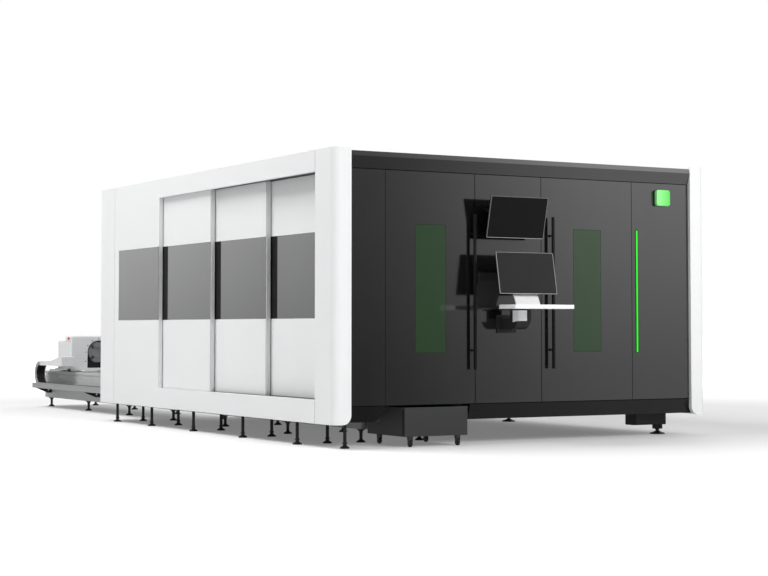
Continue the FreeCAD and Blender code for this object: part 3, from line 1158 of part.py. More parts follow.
def keyboard_table():
    """White keyboard table with a raised rim, its swivel tongue, and the neck with the hinge eye."""
    x0 = CONSOLE_X - TRAY_TABLE_WIDTH / 2
    x1 = CONSOLE_X + TRAY_TABLE_WIDTH / 2
    y0 = TRAY_TABLE_FRONT
    y1 = TRAY_TABLE_FRONT + TRAY_TABLE_DEPTH
    z0 = TRAY_TABLE_BOTTOM
    z1 = z0 + TRAY_TABLE_HEIGHT
    table = block(x0, x1, y0, y1, z0, z1)
    table = round_edges(table, 14, lambda p: near(p.z, (z0 + z1) / 2))
    table = table.cut(block(x0 + 8, x1 - 8, y0 + 8, y1 - 8, z0 + TRAY_TABLE_FLOOR, z1 + 1))
    tongue_top = z0 + TRAY_TABLE_FLOOR + 4
    tongue = block(CONSOLE_X - ARM_WIDTH / 2, CONSOLE_X + ARM_WIDTH / 2, y1 - 8, CONSOLE_SWIVEL_Y,
                   z0, tongue_top)
    swivel = rod(ARM_WIDTH / 2, V(CONSOLE_X, CONSOLE_SWIVEL_Y, z0 - SWIVEL_LIFT + RUNNING_GAP), Z_AXIS,
                 tongue_top - z0 + SWIVEL_LIFT - RUNNING_GAP)
    neck_front = y1 - 8
    axis_y, axis_z = monitor_axis(LOWER_MONITOR_Y, LOWER_MONITOR_Z, LOWER_MONITOR_TILT)
    neck = block(CONSOLE_X - NECK_WIDTH / 2, CONSOLE_X + NECK_WIDTH / 2,
                 neck_front, neck_front + NECK_THICKNESS, z0, z1 + 1)
    lean_y = axis_y - neck_front
    plate = extrude_yz([(neck_front, z1 - 5), (neck_front + NECK_THICKNESS, z1 - 5),
                        (axis_y + 14 + NECK_THICKNESS, axis_z - 40),
                        (axis_y + 14 + NECK_THICKNESS, axis_z + 30),
                        (axis_y + 14, axis_z + 30), (axis_y + 14, axis_z - 40)],
                       CONSOLE_X - NECK_WIDTH / 2, CONSOLE_X + NECK_WIDTH / 2)
    eye = rod(20, V(CONSOLE_X - 20, axis_y, axis_z), X_AXIS, 40)
    web = block(CONSOLE_X - 20, CONSOLE_X + 20, axis_y, axis_y + 15 + NECK_THICKNESS,
                axis_z - 20, axis_z + 20)
    hole = rod(HINGE_RADIUS + RUNNING_GAP, V(CONSOLE_X - 30, axis_y, axis_z), X_AXIS, 60)
    whole = table.fuse([tongue, swivel, neck, plate, eye, web]).cut(hole)
    return one_solid(whole)


# ---- scrap trolley -----------------------------------------------------------------------------------
def trolley_bin():
    """Open sheet-metal bin with a folded rim and fixed rear caster forks."""
    x0 = TROLLEY_X
    x1 = TROLLEY_X + TROLLEY_WIDTH
    y0 = TROLLEY_FRONT
    y1 = TROLLEY_FRONT + TROLLEY_LENGTH
    sheet = TROLLEY_SHEET
    outer = block(x0, x1, y0, y1, TROLLEY_BOTTOM, TROLLEY_TOP)
    outer = round_edges(outer, 8, lambda p: near(p.z, (TROLLEY_BOTTOM + TROLLEY_TOP) / 2))
    inside = block(x0 + TROLLEY_RIM, x1 - TROLLEY_RIM, y0 + TROLLEY_RIM, y1 - TROLLEY_RIM,
                   TROLLEY_TOP - sheet - 1, TROLLEY_TOP + 1)
    room = block(x0 + sheet, x1 - sheet, y0 + sheet, y1 - sheet, TROLLEY_BOTTOM + sheet, TROLLEY_TOP - sheet)
    return outer.cut(room).cut(inside)


def caster_places():
    """x and y of each caster's wheel; the front ones hang on swivels just behind their wheels."""
    x_left = TROLLEY_X + CASTER_INSET_X
    x_right = TROLLEY_X + TROLLEY_WIDTH - CASTER_INSET_X
    return {"front_left": (x_left, CASTER_FRONT_Y), "front_right": (x_right, CASTER_FRONT_Y),
            "rear_left": (x_left, CASTER_REAR_Y), "rear_right": (x_right, CASTER_REAR_Y)}


def caster_fork(x, y, trail, top):
    """Caster fork: top plate, two cheeks and the axle pin through them; one that trails has a swivel."""
    inner = WHEEL_WIDTH / 2 + FORK_GAP
    outer = inner + FORK_SHEET
    plate_bottom = 2 * WHEEL_RADIUS + FORK_HEADROOM
    front = y - FORK_PLATE / 2
    back = max(y + trail, y + FORK_PLATE / 2)
    fork = block(x - outer, x + outer, front, back, plate_bottom, top)
    cheek = extrude_yz([(y - AXLE_RADIUS * 2, WHEEL_RADIUS - AXLE_RADIUS * 2),
                        (y + AXLE_RADIUS * 2, WHEEL_RADIUS - AXLE_RADIUS * 2),
                        (back, plate_bottom), (back, top), (front, top), (front, plate_bottom)],
                       x - outer, x - inner)
    fork = fork.fuse([cheek, cheek.mirror(V(x, 0, 0), X_AXIS)])
    if trail:
        fork = fork.fuse(rod(outer, V(x, y + trail, plate_bottom), Z_AXIS, top - plate_bottom))
    pin = rod(AXLE_RADIUS, V(x - inner, y, WHEEL_RADIUS), X_AXIS, 2 * inner)
    return one_solid(fork.fuse(pin))


def rear_forks():
    """Two fixed forks under the bin's rear end."""
    places = caster_places()
    return group([caster_fork(*places[name], 0, TROLLEY_BOTTOM) for name in ("rear_left", "rear_right")])


def caster_wheel(x, y):
    """Plain wheel with its axle bore."""
    wheel = rod(WHEEL_RADIUS, V(x - WHEEL_WIDTH / 2, y, WHEEL_RADIUS), X_AXIS, WHEEL_WIDTH)
    bore = rod(AXLE_RADIUS + RUNNING_GAP, V(x - WHEEL_WIDTH, y, WHEEL_RADIUS), X_AXIS, 2 * WHEEL_WIDTH)
    return wheel.cut(bore)


# ---- build -------------------------------------------------------------------------------------------
def pieces():
    """Every piece of the machine under its own name."""
    named = {
        "corner_posts": corner_posts(), "side_rails": side_rails(), "fixed_side_panel": fixed_side_panel(),
        "fixed_side_glass": fixed_side_glass(), "right_wall_panels": right_wall_panels(),
        "rear_wall_panels": rear_wall_panels(), "roof_panels": roof_panels(), "front_cap": front_cap(),
        "front_skirts": front_skirts(), "front_fixed_panels": front_fixed_panels(),
        "status_light": status_light(), "front_tile": front_tile(), "side_door_tracks": side_door_tracks(),
        "base_frame": base_frame(), "levelling_feet": levelling_feet(), "bed_beams": bed_beams(),
        "slats": slats(), "linear_rails": linear_rails(), "tube_bed": tube_bed(),
        "chain_tray": chain_tray(),
        "drag_chain": drag_chain(), "front_chuck_housing": front_chuck_housing(),
        "control_cabinet": control_cabinet(), "laser_source": laser_source(),
        "console_brackets": console_brackets(), "door_hinges": door_hinges(),
        "left_door": door_panel(LEFT_DOOR_START, LEFT_DOOR_END, LEFT_WINDOW_START),
        "left_door_window": door_window(LEFT_WINDOW_START), "left_door_handle": door_handle(LEFT_HANDLE_X),
        "right_door": door_panel(RIGHT_DOOR_START, RIGHT_DOOR_END, RIGHT_WINDOW_START),
        "right_door_window": door_window(RIGHT_WINDOW_START),
        "right_door_handle": door_handle(RIGHT_HANDLE_X),
        "gantry_beam": gantry_beam(), "gantry_ends": gantry_ends(), "head_carriage": head_carriage(),
        "cutting_head": cutting_head(), "carriage_base": carriage_base(), "chuck_housing": chuck_housing(),
        "motor_cover": motor_cover(), "chain_arm": chain_arm(), "rear_chuck": rear_chuck(),
        "front_chuck": front_chuck(), "stop_button": stop_button(), "keyboard_table": keyboard_table(),
        "lower_monitor": lower_monitor(), "upper_monitor": upper_monitor(), "trolley_bin": trolley_bin(),
        "rear_forks": rear_forks(),
    }
    for number, name in enumerate(("rear", "middle", "front"), start=1):
        named["side_leaf_" + name] = side_leaf(number)
        named["side_glass_" + name] = side_leaf_glass(number)
    for name, (x, y) in caster_places().items():
        if name.startswith("front"):
            named["caster_fork_" + name] = caster_fork(x, y, CASTER_TRAIL, TROLLEY_BOTTOM - RUNNING_GAP)
        named["caster_wheel_" + name] = caster_wheel(x, y)
    return named


os.makedirs("parts", exist_ok=True)
for piece_name, piece in pieces().items():
    piece.translate(SHIFT)
    piece.exportStep("parts/" + piece_name + ".step")
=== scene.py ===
import bpy
import bmesh
import math
from mathutils import Matrix, Vector


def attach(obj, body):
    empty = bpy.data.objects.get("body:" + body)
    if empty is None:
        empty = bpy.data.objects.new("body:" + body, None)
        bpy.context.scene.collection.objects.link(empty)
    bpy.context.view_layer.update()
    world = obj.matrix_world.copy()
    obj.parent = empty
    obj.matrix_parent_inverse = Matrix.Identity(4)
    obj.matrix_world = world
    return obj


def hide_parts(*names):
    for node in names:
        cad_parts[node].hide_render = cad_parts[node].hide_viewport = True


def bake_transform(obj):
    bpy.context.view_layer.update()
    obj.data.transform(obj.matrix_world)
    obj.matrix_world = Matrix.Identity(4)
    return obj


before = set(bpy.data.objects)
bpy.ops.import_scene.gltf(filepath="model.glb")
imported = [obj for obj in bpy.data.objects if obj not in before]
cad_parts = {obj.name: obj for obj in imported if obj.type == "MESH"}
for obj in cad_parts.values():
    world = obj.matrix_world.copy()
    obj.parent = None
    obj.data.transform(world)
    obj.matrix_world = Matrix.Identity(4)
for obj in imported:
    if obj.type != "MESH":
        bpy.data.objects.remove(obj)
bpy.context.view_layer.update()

# ---- camera ----
# A long lens at about waist height, to the left in front of the machine, looking slightly up. The lens is
# shifted down a little so that the uprights stay almost parallel.
LENS_MM = 82.294
SENSOR_MM = 36.0
CAMERA_PLACE = (-8.3816, -16.3813, 0.9562)
CAMERA_TURN = (math.radians(90) + 0.048126, 0, -0.516767)
LENS_SHIFT = -0.05724
SIGHT_END = 400.0

camera_data = bpy.data.cameras.new("camera")
camera_data.lens = LENS_MM
camera_data.sensor_width = SENSOR_MM
camera_data.sensor_fit = 'HORIZONTAL'
camera_data.shift_y = LENS_SHIFT
camera_data.clip_end = SIGHT_END
camera = bpy.data.objects.new("camera", camera_data)
camera.location = CAMERA_PLACE
camera.rotation_euler = CAMERA_TURN
bpy.context.scene.collection.objects.link(camera)
bpy.context.scene.camera = camera
bpy.context.scene.view_settings.view_transform = 'Standard'

# ---- studio light ----
# An even white room. Seen in gloss and glass it is white too, a little darker to the front left, so that
# the dark front shades from left to right. Wide lamps hang over the left side, the front and the right rear.
WHITE = (1, 1, 1, 1)
ROOM_LIGHT = 0.27
ROOM_IN_GLOSS = ((0.0, 0.50), (0.270, 0.52), (0.288, 0.67), (0.300, 0.79), (0.318, 0.98), (0.40, 0.92),
                 (0.66, 0.26), (0.741, 0.20), (0.758, 0.37), (0.775, 0.61), (0.796, 0.92), (0.815, 1.0))
HORIZON = (-0.03, 0.095)
LEVEL_UNDER_HORIZON = 0.45
LAMPS = (("lamp_over_left", (-8.0, 0.4, 12.0), (-1.8, 0.2, 1.4), 11.0, 7.0, 1640),
         ("lamp_over_front", (1.5, -13.5, 5.2), (0.3, -4.0, 1.2), 9.0, 4.0, 800),
         ("lamp_at_rear", (10.5, 12.0, 4.6), (0.8, 2.0, 1.2), 9.0, 4.0, 1000))


def join(tree, made, joins):
    """Give a shader node's inputs their values, or the outputs that feed them."""
    for name, value in joins.items():
        if isinstance(value, bpy.types.NodeSocket):
            tree.links.new(value, made.inputs[name])
        else:
            made.inputs[name].default_value = value


def node(tree, kind, joins=None, **settings):
    """New shader node of a kind, with its settings and its joins."""
    made = tree.nodes.new("ShaderNode" + kind)
    for name, value in settings.items():
        setattr(made, name, value)
    join(tree, made, joins or {})
    return made


world = bpy.data.worlds.new("studio")
bpy.context.scene.world = world
world.use_nodes = True
tree = world.node_tree
tree.nodes.clear()
ray = node(tree, "LightPath").outputs
direction = node(tree, "SeparateXYZ", {0: node(tree, "TexCoord").outputs["Generated"]}).outputs
across = node(tree, "MapRange", {"From Min": -1.0, "From Max": 1.0, "Value": direction["X"]})
ramp = node(tree, "ValToRGB", {"Fac": across.outputs["Result"]})
while len(ramp.color_ramp.elements) < len(ROOM_IN_GLOSS):
    ramp.color_ramp.elements.new(0.5)
for stop, (place, level) in zip(ramp.color_ramp.elements, ROOM_IN_GLOSS):
    stop.position = place
    stop.color = (level, level, level, 1)
rise = node(tree, "MapRange", {"From Min": HORIZON[0], "From Max": HORIZON[1],
                               "To Min": LEVEL_UNDER_HORIZON, "Value": direction["Z"]})
room_white = node(tree, "Background", {"Color": WHITE})
room_diffuse = node(tree, "Background", {"Color": WHITE, "Strength": ROOM_LIGHT})
room_gloss = node(tree, "Background", {"Color": ramp.outputs["Color"], "Strength": rise.outputs["Result"]})
lit = node(tree, "MixShader", {"Fac": ray["Is Glossy Ray"], 1: room_diffuse.outputs[0],
                               2: room_gloss.outputs[0]})
seen = node(tree, "Math", {0: ray["Is Camera Ray"], 1: ray["Is Transmission Ray"]}, operation='MAXIMUM')
room = node(tree, "MixShader", {"Fac": seen.outputs[0], 1: lit.outputs[0], 2: room_white.outputs[0]})
node(tree, "OutputWorld", {"Surface": room.outputs[0]})

for name, place, aim, width, height, watts in LAMPS:
    data = bpy.data.lights.new(name, 'AREA')
    data.shape = 'RECTANGLE'
    data.size = width
    data.size_y = height
    data.energy = watts
    lamp = bpy.data.objects.new(name, data)
    lamp.location = place
    lamp.rotation_euler = (Vector(aim) - Vector(place)).to_track_quat('-Z', 'Y').to_euler()
    lamp.visible_camera = False
    lamp.visible_glossy = False
    bpy.context.scene.collection.objects.link(lamp)

# ---- floor ----
# Plain pale studio floor. It looks white where nothing shades it and keeps the machine's shadow. Its glow
# grows with the distance, so that no edge or horizon shows behind the machine.
FLOOR_SIZE = 300.0
FLOOR_PALE = (0.76, 0.76, 0.76, 1)
GLOW_FROM = 6.0
GLOW_FULL = 16.0
GLOW_NEAR = 0.18


def object_place(tree):
    """Place on the piece, for a shader."""
    return node(tree, "TexCoord").outputs["Object"]


bpy.ops.mesh.primitive_plane_add(size=FLOOR_SIZE)
floor = bpy.context.object
floor.name = "studio_floor"
floor.visible_glossy = False
floor_paint = bpy.data.materials.new("floor_paint")
floor_paint.use_nodes = True
tree = floor_paint.node_tree
tree.nodes.clear()
away = node(tree, "VectorMath", {0: object_place(tree)}, operation='LENGTH')
far = node(tree, "MapRange", {"From Min": GLOW_FROM, "From Max": GLOW_FULL, "To Min": GLOW_NEAR,
                              "Value": away.outputs["Value"]})
level = node(tree, "Math", {0: node(tree, "LightPath").outputs["Is Camera Ray"], 1: far.outputs["Result"]},
             operation='MULTIPLY')
glow = node(tree, "Emission", {"Color": WHITE, "Strength": level.outputs[0]})
pale = node(tree, "BsdfDiffuse", {"Color": FLOOR_PALE})
both = node(tree, "AddShader", {0: pale.outputs[0], 1: glow.outputs[0]})
node(tree, "OutputMaterial", {"Surface": both.outputs[0]})
floor.data.materials.append(floor_paint)

# ---- levelling feet ----
# Threaded steel rods in bell-shaped pressed pads, with a lock nut and washer under each rail, blackened.
# Rods under the main frame are long, with wide pads on the right; those under the tube bed are short with a
# flared collar. Profiles are rings of radius and height, in millimetres.
PAD_PROFILE = ((39.0, 0), (39.0, 7), (36.0, 11), (26.0, 17), (18.0, 21), (16.0, 26), (13.0, 28))
WIDE_PAD = 1.75
ROD_RADIUS = 14.0
ROD_START = 20.0
COLLAR_PROFILE = ((15, -34), (17, -20), (28, -7), (36, -5), (36, 0))
NUT_PROFILE = ((19, -19), (21, -17.5), (21, -5.5), (19, -4))
WASHER_PROFILE = ((26, -4), (26, 0))
LOW_NUT_PROFILE = ((17, 34), (19, 36), (19, 48), (17, 50))
FRAME_FOOT_TOP = 208.0
TUBE_FOOT_TOP = 112.0
OUTRIGGER_FOOT_TOP = 88.0
CORNER_FOOT = (180, 140)
OUTRIGGER_FOOT = (3600, 485.2)
FRAME_FEET = [(x, y) for y in (780, 1839.8, 2925, 3949.9, 4880.2) for x in (78, 360)]
RIGHT_FEET = [(3600, 2919.8), (3600, 4900)]
TUBE_FEET = [(x, 700 + share * 8120) for share in (0.0074, 0.1773, 0.3461, 0.5062, 0.6601, 0.819, 0.9803)
             for x in (669, 1241)]
MIDDLE_X = 1.8825
MIDDLE_Y = 4.135
SMOOTH_BELOW = math.radians(35)


def spot(x, y, z):
    """Place given in millimetres from the machine's left front corner, in metres of the model."""
    return Vector((x / 1000 - MIDDLE_X, y / 1000 - MIDDLE_Y, z / 1000))


def in_drawing(point):
    """Place in the model, back in millimetres from the machine's left front corner."""
    return Vector(((point.x + MIDDLE_X) * 1000, (point.y + MIDDLE_Y) * 1000, point.z * 1000))


def start_piece(name):
    """Name the primitive that was just added and fix its place and size in its mesh."""
    piece = bpy.context.object
    piece.name = name
    piece.data.name = name
    bpy.ops.object.transform_apply(location=True, rotation=True, scale=True)
    return piece


def pick(*pieces):
    """Select only these pieces, the first of them active."""
    bpy.ops.object.select_all(action='DESELECT')
    for piece in pieces:
        piece.select_set(True)
    bpy.context.view_layer.objects.active = pieces[0]


def work(piece, kind, wanted, tool, **settings):
    """Use one edit-mode tool on the faces, edges or points whose middle, in millimetres, is wanted."""
    pick(piece)
    bpy.ops.object.mode_set(mode='EDIT')
    bpy.ops.mesh.select_mode(type=kind)
    bpy.ops.mesh.select_all(action='DESELECT')
    shape = bmesh.from_edit_mesh(piece.data)
    if kind == 'FACE':
        for face in shape.faces:
            face.select_set(wanted(in_drawing(face.calc_center_median()), face.normal))
    elif kind == 'EDGE':
        for edge in shape.edges:
            along = (edge.verts[1].co - edge.verts[0].co).normalized()
            edge.select_set(wanted(in_drawing((edge.verts[0].co + edge.verts[1].co) / 2), along))
    else:
        for point in shape.verts:
            point.select_set(wanted(in_drawing(point.co), point.normal))
    bmesh.update_edit_mesh(piece.data)
    tool(**settings)
    bpy.ops.object.mode_set(mode='OBJECT')


def turned(name, profile, place, axis='Z', sides=24):
    """Piece turned on a lathe: rings of (radius, distance) from one end along the axis, in millimetres."""
    bpy.ops.object.select_all(action='DESELECT')
    radius, start = profile[0]
    bpy.ops.mesh.primitive_circle_add(vertices=sides, radius=radius / 1000, fill_type='NGON',
                                      location=(0, 0, start / 1000))
    piece = start_piece(name)
    bpy.ops.object.mode_set(mode='EDIT')
    bpy.ops.mesh.select_all(action='SELECT')
    for next_radius, distance in profile[1:]:
        bpy.ops.mesh.extrude_region_move(TRANSFORM_OT_translate={"value": (0, 0, (distance - start) / 1000)})
        share = next_radius / radius
        bpy.ops.transform.resize(value=(share, share, 1), center_override=(0, 0, distance / 1000))
        radius, start = next_radius, distance
    bpy.ops.mesh.select_all(action='SELECT')
    bpy.ops.mesh.normals_make_consistent(inside=False)
    bpy.ops.object.mode_set(mode='OBJECT')
    if axis != 'Z':
        piece.data.transform(Matrix.Rotation(math.radians(90 if axis == 'X' else -90), 4,
                                             'Y' if axis == 'X' else 'X'))
    piece.data.transform(Matrix.Translation(spot(*place)))
    bpy.ops.object.shade_smooth_by_angle(angle=SMOOTH_BELOW)
    return piece


def copied(piece, shift):
    """Same piece again with its own mesh, moved by a shift in millimetres."""
    twin = piece.copy()
    twin.data = piece.data.copy()
    twin.data.transform(Matrix.Translation(Vector(shift) / 1000))
    bpy.context.scene.collection.objects.link(twin)
    return twin


def copied_to(piece, places):
    """Copies of a piece that stands at the first of some places, for the others too, with itself."""
    x, y = places[0]
    return [piece] + [copied(piece, (next_x - x, next_y - y, 0)) for next_x, next_y in places[1:]]


def joined(name, pieces):
    """Several pieces as one object."""
    pick(*pieces)
    bpy.ops.object.join()
    pieces[0].name = name
    pieces[0].data.name = name
    return pieces[0]


def dress(piece, finish, body):
    """Give a piece its finish and the body it moves with."""
    piece.data.materials.clear()
    piece.data.materials.append(finish)
    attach(piece, body)


def give(finish, *names):
    """Put one finish on whole CAD nodes."""
    for name in names:
        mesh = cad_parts[name].data
        mesh.materials.clear()
        mesh.materials.append(finish)


def new_group(name, inputs, outputs):
    """Node group with colour or number sockets, its input sockets and its output node."""
    group = bpy.data.node_groups.new(name, 'ShaderNodeTree')
    for way, sockets in (('INPUT', inputs), ('OUTPUT', outputs)):
        for label, value in sockets.items():
            kind = 'NodeSocketColor' if isinstance(value, tuple) else 'NodeSocketFloat'
            socket = group.interface.new_socket(name=label, in_out=way, socket_type=kind)
            if way == 'INPUT':
                socket.default_value = value
    return group, group.nodes.new("NodeGroupInput").outputs, group.nodes.new("NodeGroupOutput")


# Fine sprayed grain: a slow drift of tone and gloss, and the height of a small even roughness.
sprayed_grain, given, result = new_group(
    "sprayed_grain", {"Colour": (0.8, 0.8, 0.8, 1), "Drift": 0.03, "Roughness": 0.4, "Spread": 0.05,
                      "Grain Size": 400.0}, {"Colour": WHITE, "Roughness": 0.0, "Height": 0.0})
place = object_place(sprayed_grain)
slow = node(sprayed_grain, "TexNoise", {"Scale": 1.7, "Detail": 3.0, "Vector": place})
fine = node(sprayed_grain, "TexNoise", {"Scale": given["Grain Size"], "Detail": 2.0, "Vector": place})
centred = node(sprayed_grain, "Math", {0: slow.outputs["Fac"], 1: 0.5}, operation='SUBTRACT').outputs[0]
swing = node(sprayed_grain, "Math", {0: centred, 1: given["Drift"], 2: 1.0}, operation='MULTIPLY_ADD')
tone = node(sprayed_grain, "VectorMath", {0: given["Colour"], "Scale": swing.outputs[0]}, operation='SCALE')
rough = node(sprayed_grain, "Math", {0: centred, 1: given["Spread"], 2: given["Roughness"]},
             operation='MULTIPLY_ADD')
join(sprayed_grain, result, {"Colour": tone.outputs[0], "Roughness": rough.outputs[0],
                             "Height": fine.outputs["Fac"]})


def feed_shader(tree, joins):
    """Join values or outputs to a material's own shader."""
    join(tree, tree.nodes["Principled BSDF"], joins)


def painted(name, colour, roughness, drift=0.06, spread=0.08, size=400.0, depth=0.00004, metallic=0.0,
            index=None):
    """Sprayed, moulded or plated finish with its grain set as a real depth in metres."""
    finish = bpy.data.materials.new(name)
    finish.use_nodes = True
    tree = finish.node_tree
    grain = node(tree, "Group", {"Colour": (*colour, 1), "Drift": drift, "Roughness": roughness,
                                 "Spread": spread, "Grain Size": size}, node_tree=sprayed_grain).outputs
    bump = node(tree, "Bump", {"Strength": 1.0, "Distance": depth, "Height": grain["Height"]})
    feed_shader(tree, {"Metallic": metallic, "Base Color": grain["Colour"], "Roughness": grain["Roughness"],
                       "Normal": bump.outputs["Normal"]})
    if index:
        feed_shader(tree, {"IOR": index})
    return finish


def ridged(finish, height, distance):
    """Lay a second relief, its depth in metres, over the grain of a finish."""
    tree = finish.node_tree
    ridges = node(tree, "Bump", {"Distance": distance, "Height": height,
                                 "Normal": tree.nodes["Bump"].outputs["Normal"]})
    feed_shader(tree, {"Normal": ridges.outputs["Normal"]})
    return finish


def levelling_foot(x, y, top, collar=False, pad_share=1.0):
    """One foot from the floor up to the rail at the given height."""
    pad = [(radius * pad_share, height) for radius, height in PAD_PROFILE]
    parts = [turned("foot", pad, (x, y, 0), 'Z', 28),
             turned("rod", ((ROD_RADIUS, ROD_START), (ROD_RADIUS, top)), (x, y, 0), 'Z', 16)]
    if collar:
        parts.append(turned("collar", COLLAR_PROFILE, (x, y, top), 'Z', 28))
    else:
        parts.append(turned("nut", NUT_PROFILE, (x, y, top), 'Z', 6))
        parts.append(turned("washer", WASHER_PROFILE, (x, y, top)))
        parts.append(turned("low_nut", LOW_NUT_PROFILE, (x, y, 0), 'Z', 6))
    return joined("foot", parts)


# The black steel shows the fine turns of its thread round the upright rods.
blackened_steel = painted("blackened_steel", (0.012, 0.012, 0.013), 0.42, drift=0.3)
tree = blackened_steel.node_tree
turns = node(tree, "TexWave", {"Scale": 90.0, "Vector": object_place(tree)}, bands_direction='Z')
ridged(blackened_steel, turns.outputs["Fac"], 0.0006)

feet = copied_to(levelling_foot(*FRAME_FEET[0], FRAME_FOOT_TOP), FRAME_FEET + [CORNER_FOOT])
feet += copied_to(levelling_foot(*TUBE_FEET[0], TUBE_FOOT_TOP, True), TUBE_FEET)
feet += [levelling_foot(*place, FRAME_FOOT_TOP, pad_share=WIDE_PAD) for place in RIGHT_FEET]
feet.append(levelling_foot(*OUTRIGGER_FOOT, OUTRIGGER_FOOT_TOP, pad_share=WIDE_PAD))
feet = joined("levelling_feet_blackened", feet)
dress(feet, blackened_steel, "machine")
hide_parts("levelling_feet")

# ---- base frame ----
# Welded box-section rails, ties and uprights in dark semi-matt paint. Each levelling rod screws into a
# square plate welded under the rail, held by four cap screws.
FOOT_PLATE = 46.0
FOOT_PLATE_THICKNESS = 7.0
PLATE_SCREW_INSET = 36.0
SCREW_HEAD_RADIUS = 6.5


def box_piece(name, low, high):
    """Box between two corners in millimetres, as the start of a piece."""
    bpy.ops.object.select_all(action='DESELECT')
    first, last = spot(*low), spot(*high)
    bpy.ops.mesh.primitive_cube_add(size=1, location=(first + last) / 2)
    bpy.context.object.scale = last - first
    return start_piece(name)


def modified(piece, kind, **settings):
    """Give a piece a modifier and apply it."""
    pick(piece)
    modifier = piece.modifiers.new(kind.lower(), kind)
    for name, value in settings.items():
        setattr(modifier, name, value)
    bpy.ops.object.modifier_apply(modifier=modifier.name)
    return piece


def softened(piece, width, segments=2, angle=40):
    """Round the sharp edges of a piece by a width in millimetres."""
    modified(piece, 'BEVEL', width=width / 1000, segments=segments, limit_method='ANGLE',
             angle_limit=math.radians(angle))
    bpy.ops.object.shade_smooth_by_angle(angle=SMOOTH_BELOW)
    return piece


def cap_screw(place, axis='Z', out=1, radius=SCREW_HEAD_RADIUS, sides=12):
    """Round cap screw with its socket, head standing out from a face along the axis."""
    high = 0.8 * radius
    rings = ((radius, -0.5), (radius, high - 0.6), (radius - 0.6, high), (0.5 * radius, high),
             (0.45 * radius, 0.4 * high))
    return turned("cap_screw", [(ring, height * out) for ring, height in rings], place, axis, sides)


plate_low = FRAME_FOOT_TOP - FOOT_PLATE_THICKNESS
x, y = FRAME_FEET[0]
plate = softened(box_piece("foot_plate", (x - FOOT_PLATE, y - FOOT_PLATE, plate_low),
                           (x + FOOT_PLATE, y + FOOT_PLATE, FRAME_FOOT_TOP + 1)), 2.0)
plate = joined("foot_plate", [plate] + [cap_screw((x + across, y + along, plate_low), out=-1)
                                        for across in (-PLATE_SCREW_INSET, PLATE_SCREW_INSET)
                                        for along in (-PLATE_SCREW_INSET, PLATE_SCREW_INSET)])
foot_plates = joined("foot_plates", copied_to(plate, FRAME_FEET + RIGHT_FEET))
frame_paint = painted("dark_frame_paint", (0.022, 0.023, 0.024), 0.42, drift=0.2)
dress(foot_plates, frame_paint, "machine")
give(frame_paint, "base_frame")

# ---- cutting bed ----
# Stress-relieved welded beams in light grey paint. The side faces of the long beams have access holes with
# rolled rims, and the slat frame stands on machined pads. Below the skirts the grey paint turns black, as
# painted shade for the shadow under the machine.
SHADE_BLACK_BELOW = 0.3
BLACK_PLATE_AND_SHADE = (0.012, 0.012, 0.013)
HOLE_RIM = ((72, -1), (72, 2), (66, 5), (62, 4), (59, 1))
HOLE_STATIONS = (1250, 1550, 2250, 2600, 3350, 3650, 4550)
HOLE_HEIGHT = 620.0
BEAM_FACES = ((430, 1), (3507, -1))
OUTRIGGER_FRONT = 416.0
OUTRIGGER_SCREW_XS = (3306, 3628)
OUTRIGGER_SCREW_ZS = (107, 189)
CLAMP_FRONT = 457.0
CLAMP_BOLT = (3612, CLAMP_FRONT, 67)


def mixed(tree, mask, first, second):
    """Colour from the first to the second, as the mask rises."""
    return node(tree, "Mix", {"Factor": mask, "A": first, "B": second}, data_type='RGBA').outputs["Result"]


def inset(piece, axis, out, width, depth=0.0):
    """Inset the faces of a piece that look out along an axis, and raise or sink them, in millimetres."""
    work(piece, 'FACE', lambda place, normal: normal['XYZ'.index(axis)] * out > 0.9, bpy.ops.mesh.inset,
         thickness=width / 1000, depth=depth / 1000)


bed_paint = painted("light_bed_paint", (0.40, 0.41, 0.42), 0.48, drift=0.12)
outrigger_black = painted("outrigger_black", BLACK_PLATE_AND_SHADE, 0.4, drift=0.2)
give(bed_paint, "bed_beams")
tree = bed_paint.node_tree
height = node(tree, "SeparateXYZ", {0: object_place(tree)}).outputs["Z"]
# Below this height the grey turns black: painted shade for the shadow under the skirts.
shaded_low_end = node(tree, "Math", {0: height, 1: SHADE_BLACK_BELOW}, operation='LESS_THAN')
upper_grey = tree.nodes["Group"].outputs["Colour"]
feed_shader(tree, {"Base Color": mixed(tree, shaded_low_end.outputs[0], upper_grey, (*BLACK_PLATE_AND_SHADE, 1))})

rims = []
for x, out in BEAM_FACES:
    rim = turned("beam_hole_rim", [(radius, height * out) for radius, height in HOLE_RIM],
                 (x, HOLE_STATIONS[0], HOLE_HEIGHT), 'X', 32)
    rims += copied_to(rim, [(x, y) for y in HOLE_STATIONS])
dress(joined("bed_beam_hole_rims", rims), bed_paint, "machine")

# The outrigger is a low welded box at the front right. A bolted plate closes its front, and a clamp under it
# holds the foot.
outrigger = box_piece("outrigger_plate", (3297, OUTRIGGER_FRONT, 98), (3637, OUTRIGGER_FRONT + 6, 198))
inset(outrigger, 'Y', -1, 12, -2)
softened(outrigger, 1.2)
clamp = softened(box_piece("outrigger_clamp", (3562, CLAMP_FRONT, 46), (3638, CLAMP_FRONT + 56, 89)), 3.0)
corner_screws = [cap_screw((x, OUTRIGGER_FRONT, z), 'Y', -1) for x in OUTRIGGER_SCREW_XS
                 for z in OUTRIGGER_SCREW_ZS]
clamp_bolt = cap_screw(CLAMP_BOLT, 'Y', -1, 13, 24)
outrigger = joined("outrigger_plate", [outrigger, clamp, clamp_bolt] + corner_screws)
dress(outrigger, outrigger_black, "machine")

